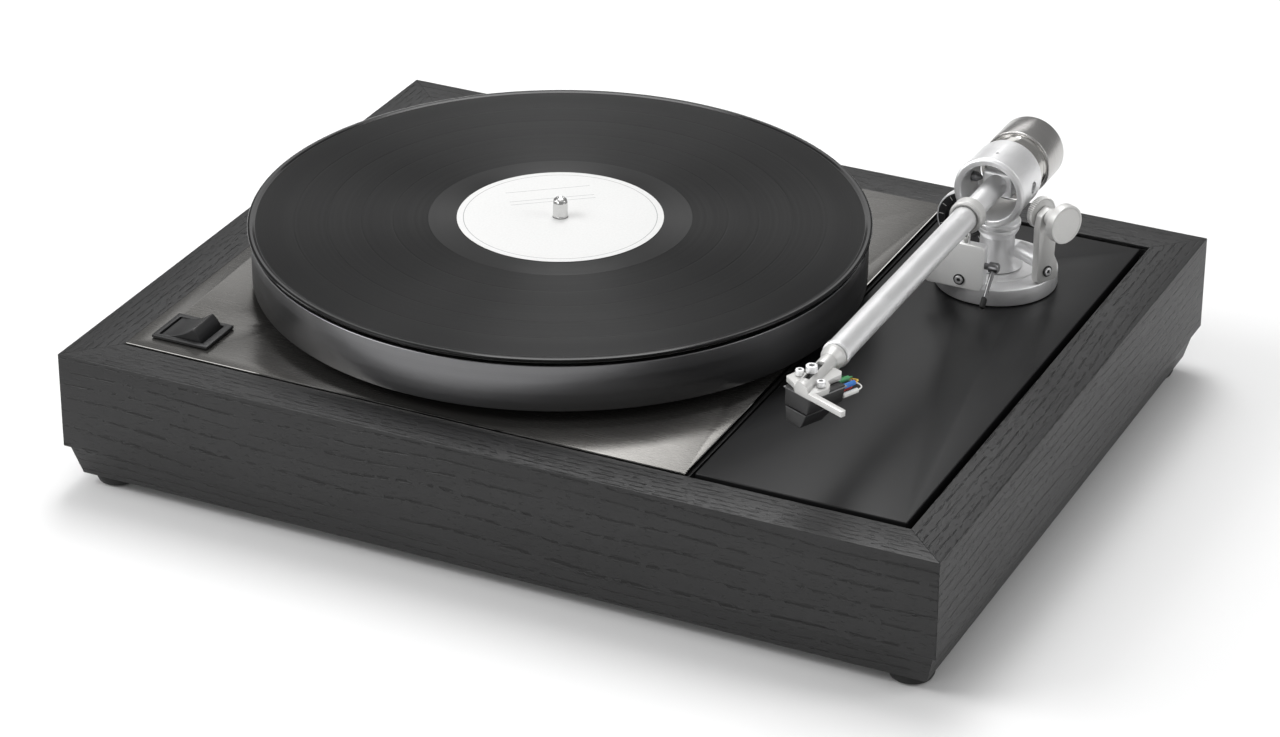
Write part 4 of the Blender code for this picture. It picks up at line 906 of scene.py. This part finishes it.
def make_dial():
    at = joint_at("bias_dial") - BACKWARD * 2.5 * MM
    facing = -BACKWARD
    ring = [(0, -1.2), (2.4, -1.2), (2.4, -3), (9.6, -3), (10.2, -0.1), (13.7, -0.1), (13.7, -5), (0, -5)]
    lathe("dial_disc", "black_plastic", "bias_dial", mm(ring), at, facing, 96)
    painted_highlight = [(13.65, 0), (14.4, -0.2), (14.4, -5), (13.65, -5)]
    lathe("dial_edge", "satin_silver", "bias_dial", mm(painted_highlight), at, facing, 96)
    marks = bmesh.new()
    count = 12
    for i in range(count):
        a = radians(-135 + 270 * i / (count - 1))
        out = Vector((sin(a), 0, cos(a)))
        side = Vector((cos(a), 0, -sin(a)))
        place = Matrix.Translation(at + out * 12 * MM) @ Matrix((side, facing, out)).transposed().to_4x4()
        block(marks, (-0.16 * MM, -0.12 * MM, -1.1 * MM), (0.16 * MM, 0.0, 1.1 * MM), place)
    piece(loose(marks), "dial_marks", "pearl_silver", "bias_dial")


# ---- arm


def make_gimbal():
    low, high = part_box("gimbal_housing")
    profile = above(high.y, (14.2, 0), (17, 0), (17.2, -1.2))
    profile += above(low.y, (17.2, 3.6), (17.9, 2.8), (17.9, 0.9), (16.8, 0), (14.7, 0), (14.2, 0.7))
    housing = turned(profile, ARM_LINE, BACKWARD, 144, 0.7)
    long = 9 * MM
    cutters = []
    for sx in (-1, 1):
        out = Vector((sx, 0, 0))
        at = PIVOT + out * 12 * MM
        cutters.append(turned(band(0, 2.9 * MM, long), at, out, 32, 0))
        lock = at + Vector((0, 5.6, -6.2)) * MM
        cutters.append(turned(band(0, 1.2 * MM, long), lock, out, 24, 0))
    grub = Vector((PIVOT.x, low.y + 10 * MM, PIVOT.z + 14 * MM))
    cutters.append(turned(band(0, 0.8 * MM, long), grub, UP, 20, 0))
    piece(carve(housing, *cutters), "housing_shell", "satin_silver", "gimbal_housing")
    boss = above(low.z, (0, 6.3), (7, 6.3), (7.4, 3.4), (10.6, 2.6), (11, 2), (11, 0), (0, 0))
    lathe("housing_boss", "satin_silver", "gimbal_housing", boss, BASE_AXIS, rounding=0.5)
    screws = bmesh.new()
    points = mm([(0, 8.8), (0.9, 8.8), (1.3, 9.3), (2.2, 9.3), (2.4, 9), (2.4, 4), (1.2, 2), (0, 0.4)])
    for sx in (-1, 1):
        at = PIVOT + Vector((sx * 7.8 * MM, 0, 0))
        turn(screws, points, at, (sx, 0, 0), 32, 0.15)
    piece(loose(screws), "pivot_screws", "dark_steel", "gimbal_housing")


def make_arm():
    low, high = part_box("arm_tube")
    step = high.y - 7.6 * MM
    profile = above(step, (5, -0.5), (6.1, -0.5))
    profile += above(low.y, (6.1, 3.4), (6.45, 3.2), (6.45, 0.5), (5.9, 0), (5, 0))
    lathe("tube_main", "satin_silver", "arm_tube", profile, ARM_LINE, BACKWARD, 96, 0.3)
    profile = above(step, (5.7, 7.6), (7.2, 7.6), (8.3, 6.4), (8.3, 1.1))
    profile += above(step, (7.6, 0.4), (6.7, 0.1), (6.3, 0.9), (5.7, 0.9))
    lathe("tube_collar", "pearl_silver", "arm_tube", profile, ARM_LINE, BACKWARD, 96, 0.5)
    profile = band(0, 5.4 * MM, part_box("arm_shaft")[1].y, step + 0.3 * MM)
    lathe("rear_shaft", "satin_silver", "arm_shaft", profile, ARM_LINE, BACKWARD, 64)
    half = Vector((7.6, 5, 6.5)) * MM
    cheeks = box(PIVOT - half, PIVOT + half)
    piece(soften(cheeks, 1.6, 4), "pivot_block", "satin_silver", "arm_shaft")


def make_counterweight():
    low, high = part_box("counterweight")
    neck = above(low.y, (5.8, 8.8), (15.6, 8.8), (15, 6.6), (15, 0), (5.8, 0))
    lathe("weight_neck", "polished_neck_and_edge_highlight", "counterweight", neck, ARM_LINE, BACKWARD, 144, 0.6)
    body = above(high.y, (5.8, -1.4), (9, -1.4), (9.6, 0), (16.7, 0))
    body += above(low.y, (16.7, 9.1), (15.7, 8.9), (5.8, 8.9))
    lathe("weight_body", "stainless", "counterweight", body, ARM_LINE, BACKWARD, 144, 0.7)


# ---- headshell and cartridge

HEAD = Vector((144.7 * MM, -141.3 * MM, 0))
OFFSET = radians(25)


def head_point(u, w, z=0.0):
    """A point of the headshell: u towards the finger lift, w towards the front."""
    c, s = cos(OFFSET), sin(OFFSET)
    return HEAD + Vector((u * c - w * s, -u * s - w * c, z))


def make_headshell():
    plate_low, plate_top = DECK + 50.6 * MM, DECK + 53.2 * MM
    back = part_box("arm_tube")[0].y - 0.3 * MM
    neck_front = -155 * MM
    start = Vector((PIVOT.x, neck_front, PIVOT.z))
    shell = turned(band(0, 4 * MM, back - neck_front), start, BACKWARD, 64, 0.2)
    outline = [(-10.3, 5), (-10.6, -1), (-9.4, -3), (-5.4, -4), (-4.2, -14.6), (-2.4, -16.8), (1.8, -16.8)]
    outline += [(4.2, -14.4), (4.2, -9), (4.9, -5.9), (8.2, -4.4), (10.3, -1.6)]
    outline += [(10.3, 6.1), (30.2, 6.1), (30.2, 9), (0, 9), (-3.3, 6.8)]
    flat = [head_point(u, w).xy for u, w in mm(outline)]
    plate = sheet(flat, plate_low, plate_top, rounding=0.8)
    under = box((0.13, -0.17, plate_low - 0.01), (0.16, -123.5 * MM, plate_low))
    floor = PIVOT.z + 2 * MM
    slot = box((PIVOT.x - 1.6 * MM, -146.5 * MM, floor), (PIVOT.x + 1.6 * MM, -129 * MM, PIVOT.z + 0.01))
    nose_turn = Matrix.Rotation(pi - OFFSET, 4, "Z")
    nose_place = Matrix.Translation(head_point(0, 9.02 * MM, PIVOT.z)) @ nose_turn
    nose = box((-0.02, 0, -0.015), (0.02, 0.02, 0.015), nose_place)
    carve(fuse(shell, plate), under, slot, nose)
    piece(soften(shell, 0.3, 2, 40), "headshell_plate", "pearl_silver", "headshell")
    flare = [(4.05, 7.2), (5.7, 7.2), (5.7, 4.6), (4.9, 2.6), (4.15, 0.6), (4.05, 0.4)]
    start = Vector((PIVOT.x, back - 7.3 * MM, PIVOT.z))
    lathe("headshell_flare", "pearl_silver", "headshell", mm(flare), start, BACKWARD, 64, 0.5)
    # A thin black plate at the slot's floor is painted shade, so the slot in the tube reads dark inside.
    slot_shade_low = (PIVOT.x - 1.5 * MM, -146.4 * MM, floor)
    slot_shade_high = (PIVOT.x + 1.5 * MM, -129.1 * MM, floor + 0.3 * MM)
    piece(box(slot_shade_low, slot_shade_high), "headshell_slot_shade", "black_plastic", "headshell")
    for node, u in (("cartridge_screw_left", -7 * MM), ("cartridge_screw_right", 7 * MM)):
        make_screw(node, head_point(u, 0, plate_top + 0.2 * MM), UP, 2 * MM, 2.8 * MM)
    clamp = Vector((PIVOT.x, -140 * MM, PIVOT.z + 4.2 * MM))
    make_screw("headshell_screw", clamp, UP, 2.65 * MM, 3.2 * MM)


def wedge(low, high, z_low, z_high):
    """A loose block between two rectangles of the headshell frame, each (u0, u1, w0, w1)."""
    shape = bmesh.new()
    rings = []
    for (u0, u1, w0, w1), z in ((low, z_low), (high, z_high)):
        corners = mm(((u0, w0), (u1, w0), (u1, w1), (u0, w1)))
        rings.append([shape.verts.new(head_point(u, w, z)) for u, w in corners])
    return loose(loft(shape, rings))


def make_cartridge():
    low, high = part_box("cartridge_body")
    body = wedge((-7.4, 7.4, -12.6, 8.4), (-8.4, 8.4, -13.6, 7.4), low.z, high.z)
    piece(soften(body, 0.7), "cartridge_shell", "black_plastic", "cartridge_body")
    rim = (-8.7, 8.7, -13.9, 7.7)
    flange = wedge(rim, rim, high.z - 1.1 * MM, high.z - 0.6 * MM)
    piece(flange, "cartridge_flange", "dark_steel", "cartridge_body")
    low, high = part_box("stylus_unit")
    unit = wedge((-4.8, 4.8, -3, 9.6), (-7, 7, -11.6, 8.4), low.z + 0.5 * MM, high.z)
    piece(soften(unit, 0.6), "stylus_holder", "black_plastic", "stylus_unit")
    tip = head_point(0, 7 * MM, low.z)
    root = head_point(0, 2 * MM, low.z + 1.3 * MM)
    points = [root.lerp(tip, i / 4) + UP * 0.25 * MM for i in range(5)]
    piece(wire(points, 0.3 * MM, 12, 0.2 * MM), "stylus_cantilever", "satin_silver", "stylus_unit")


# Lead: sleeve colour, wire colour, u and height over the deck of its pin.
LEADS = (
    ("green", "green", 0, 47.2),
    ("blue", "yellow", 4, 46.6),
    ("white", "white", 6, 43.6),
    ("red", "red", 1.6, 43.8),
)


def make_leads():
    """Four sleeved pins and their thin wires, which loop into a sleeve under the tube."""
    back = head_point(0, -1) - HEAD
    tube_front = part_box("arm_tube")[0].y
    entry = Vector((PIVOT.x, tube_front - 1.5 * MM, PIVOT.z - 7.3 * MM))
    out = Vector((0.9, -0.6, 0)).normalized()
    points = [entry + out * (4 * MM * i / 3) for i in range(4)]
    piece(wire(points, 1.1 * MM, 24), "lead_sleeve", "lead_black", "cartridge_leads")
    away = entry + Vector((9, -6, 0)) * MM
    stop = entry + Vector((2, -1.3, 0)) * MM
    tag = mm([(0, 9), (1.15, 8.7), (1.15, 0), (0, 0)])
    steps = 24
    for i, (sleeve, core, u, z) in enumerate(LEADS):
        begin = head_point(u * MM, -14 * MM, DECK + z * MM)
        lathe(f"lead_tag_{sleeve}", f"lead_{sleeve}", "cartridge_leads", tag, begin, back, 28, 0.3)
        end = begin + back * 8.6 * MM
        bend = begin + back * (14 + 1.5 * i) * MM
        points = []
        for k in range(steps + 1):
            s = k / steps
            near = end * (1 - s) ** 3 + bend * 3 * s * (1 - s) ** 2
            points.append(near + away * 3 * s * s * (1 - s) + stop * s**3)
        piece(wire(points, 0.35 * MM, 12), f"lead_wire_{sleeve}", f"lead_{core}", "cartridge_leads")


# ---- rear panel and underside


def box_facing(at, half_x, half_z, near, far):
    """A loose box centred on a place as seen from behind, between two y values."""
    return box((at.x - half_x, near, at.z - half_z), (at.x + half_x, far, at.z + half_z))


def make_rear_panel():
    low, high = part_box("rear_panel")
    x = (low.x + high.x) / 2
    y = HALF_Y - 6 * MM
    z = (low.z + high.z) / 2
    inlet = Vector((x + 36 * MM, y, z))
    wide, tall, gap = 14 * MM, 10 * MM, 0.2 * MM
    panel = box((low.x, y - 2 * MM, low.z), (high.x, y, high.z))
    carve(panel, box_facing(inlet, wide + gap, tall + gap, y - 5 * MM, y + 5 * MM))
    piece(soften(panel, 0.3, 2), "outlet_panel", "black_painted_steel", "rear_panel")
    body = box_facing(inlet, wide, tall, low.y, high.y - 3.6 * MM)
    carve(body, box_facing(inlet, wide - 2 * MM, tall - 2 * MM, low.y + 2.5 * MM, high.y + 5 * MM))
    piece(soften(body, 0.5), "inlet_shell", "black_plastic", "rear_panel")
    pins = bmesh.new()
    for dx, dz in ((-7, -2), (0, 2), (7, -2)):
        at = inlet + Vector((dx, 0, dz)) * MM
        block(pins, (at.x - MM, low.y + MM, at.z - 2 * MM), (at.x + MM, y - 4 * MM, at.z + 2 * MM))
    piece(soften(loose(pins), 0.3, 2), "inlet_pins", "bright_steel", "rear_panel")
    for dx, color in ((-44, "white"), (-26, "red")):
        at = Vector((x + dx * MM, y, z))
        ring = [(1.9, 5), (3.4, 5), (4, 4.4), (4, 1.5), (6, 1.2), (6, 0.1), (1.9, 0.1)]
        lathe(f"outlet_ring_{color}", "brass", "rear_panel", mm(ring), at, BACKWARD, 48)
        core = [(1.2, 4.2), (1.85, 4.2), (1.85, -4), (1.2, -4)]
        lathe(f"outlet_core_{color}", f"lead_{color}", "rear_panel", mm(core), at, BACKWARD, 32)
    post = [(0, 5), (3.6, 5), (3.6, 1.2), (2, 1.2), (2, 0.1), (0, 0.1)]
    at = Vector((x - 8 * MM, y, z))
    ripple = (24, 0.35 * MM, 3 * MM)
    lathe("earth_post", "brass", "rear_panel", mm(post), at, BACKWARD, 144, 0.3, ripple)
    for sx in (-1, 1):
        for sz in (-1, 1):
            spot = Vector((x + sx * 56 * MM, y + 0.02 * MM, z + sz * 11 * MM))
            add_small_screw(f"panel_screw_{'lr'[sx > 0]}{'bt'[sz > 0]}", spot, BACKWARD, 2.4 * MM, 1.1 * MM)


def add_small_screw(name, at, facing, radius, height):
    """A domed cross-head screw on the plinth."""
    dome = [(0, height), (radius * 0.6, height * 0.85), (radius, height * 0.2), (radius, 0), (0, 0)]
    head = turned(dome, at, facing, 32, 0.3)
    place = Matrix.Translation(at) @ towards(facing)
    arm, half = radius * 0.6, radius * 0.14
    floor, top = height * 0.35, height * 2
    bars = [box((-x, -y, floor), (x, y, top), place) for x, y in ((arm, half), (half, arm))]
    piece(carve(head, *bars), name, "bright_steel", body="plinth")


def make_underside():
    """The baseboard, its screws and a row of vent slots under the drive board."""
    low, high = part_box("baseboard")
    vents = []
    drive = centre("drive_board")
    count, pitch = 6, 7 * MM
    for i in range(count):
        at = drive + Vector(((i - (count - 1) / 2) * pitch, 0, 0))
        vents.append(box_about(at, 1.4 * MM, 25 * MM, low.z - MM, high.z + MM))
    board = carve(box(low, high), *vents)
    piece(soften(board, 0.3, 2), "base_sheet", "black_painted_steel", "baseboard")
    inset = 10 * MM
    for i, x in enumerate((low.x + inset, 0, high.x - inset)):
        for j, y in enumerate((low.y + inset, high.y - inset)):
            spot = Vector((x, y, low.z - 0.02 * MM))
            add_small_screw(f"base_screw_{i}{j}", spot, -UP, 3 * MM, 1.4 * MM)


SPRING_R = 8.5 * MM
SPRING_WIRE_R = 0.9 * MM
SPRING_TURNS = 4
STEPS_PER_TURN = 28


def make_springs():
    """Three coils between the plinth and the sub-chassis, built where they stand and attached to no body."""
    steps = SPRING_TURNS * STEPS_PER_TURN
    for spot in SPOTS:
        node = f"suspension_spring_{spot}"
        low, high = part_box(node)
        at = centre(node)
        first, last = low.z + SPRING_WIRE_R, high.z - SPRING_WIRE_R
        points = []
        for i in range(steps + 1):
            a = 2 * pi * SPRING_TURNS * i / steps
            rise = first + (last - first) * i / steps
            points.append((at.x + SPRING_R * cos(a), at.y + SPRING_R * sin(a), rise))
        coil = wire(points, SPRING_WIRE_R, 12)
        piece(coil, f"{node}_coil", "spring_steel", node, rides=False)
        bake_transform(coil)


CAD_PAINTS = {
    "black_painted_steel": ("cross_brace", "motor_can", "subchassis"),
    "brass": ("motor_pulley", "bearing_housing", "arm_base_nut"),
    "black_rubber": ("drive_belt", *(f"suspension_grommet_{spot}" for spot in SPOTS)),
    "bright_steel": [f"suspension_bolt_{spot}" for spot in SPOTS],
    "machined_alloy": ("inner_platter",),
    "circuit_board": ("drive_board",),
}


def paint_cad_nodes():
    """Give the hidden works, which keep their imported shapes, their finishes."""
    for name, nodes in CAD_PAINTS.items():
        for node in nodes:
            obj = frame["nodes"][node]
            obj.data.materials.clear()
            obj.data.materials.append(PAINTS[name])


# ---- stage

AZIMUTH = radians(25.339)
ELEVATION = radians(27.633)
ROLL = radians(0.305)
AIM = Vector((29.3 * MM, -71.5 * MM, DECK))
DISTANCE = 1.96185
LENS = 118.27


def make_camera():
    data = bpy.data.cameras.new("camera")
    data.lens = LENS
    data.sensor_width = 36
    data.clip_start = 0.05
    flat = cos(ELEVATION)
    back = Vector((sin(AZIMUTH) * flat, -cos(AZIMUTH) * flat, sin(ELEVATION)))
    level = UP.cross(back).normalized()
    rise = back.cross(level)
    right = level * cos(ROLL) + rise * sin(ROLL)
    frame_axes = Matrix((right, back.cross(right), back)).transposed().to_4x4()
    place = Matrix.Translation(AIM + back * DISTANCE) @ frame_axes
    bpy.context.scene.camera = placed("camera", data, place)


def softbox(name, at, size, power):
    """A rectangular lamp that faces the middle of the player."""
    data = bpy.data.lights.new(name, "AREA")
    data.shape = "RECTANGLE"
    data.size, data.size_y = size
    data.energy = power
    away = Vector(at) - Vector((0, 0, 0.05))
    placed(name, data, Matrix.Translation(at) @ towards(away))


def make_stage():
    floor = box((-8, -8, -0.02), (8, 8, -0.0002))
    floor.name = floor.data.name = "floor"
    paint("floor_white", Base_Color=(0.86, 0.86, 0.86, 1), Roughness=0.85)
    floor.data.materials.append(PAINTS["floor_white"])
    world = bpy.data.worlds.new("studio")
    world.use_nodes = True
    tree = world.node_tree
    way = add(tree, "ShaderNodeTexCoord").outputs["Generated"]
    height = split(tree, way)["Z"]
    sky = ramp(tree, height, (0.0, 0.40), (0.28, 0.30), (0.6, 0.34), (1.0, 0.75))
    tree.links.new(sky, tree.nodes["Background"].inputs["Color"])
    tree.nodes["Background"].inputs["Strength"].default_value = 0.9
    bpy.context.scene.world = world
    softbox("key", (-1.6, -1.1, 1.7), (1.4, 1.1), 27)
    softbox("top", (-0.35, 0.75, 2.15), (0.9, 1.5), 29)
    softbox("side", (1.9, 0.5, 1.1), (0.7, 1.4), 9)
    softbox("front", (-0.7, -2.3, 0.8), (1.3, 0.7), 9)
    softbox("back", (-0.9, 2.0, 1.25), (1.3, 0.6), 3)
    softbox("left", (-2.3, -0.5, 0.6), (0.8, 0.8), 7)
    bpy.context.scene.view_settings.view_transform = "Standard"


MAKERS = (
    make_camera, make_stage, make_paints, make_rails, make_feet, make_top_plate, make_armboard,
    make_switch, make_platter, make_record, make_spindle, make_arm_base, make_side_bracket, make_lift,
    make_dial, make_gimbal, make_arm, make_counterweight, make_headshell, make_cartridge, make_leads,
    make_rear_panel, make_underside, make_springs, paint_cad_nodes,
)
for maker in MAKERS:
    maker()
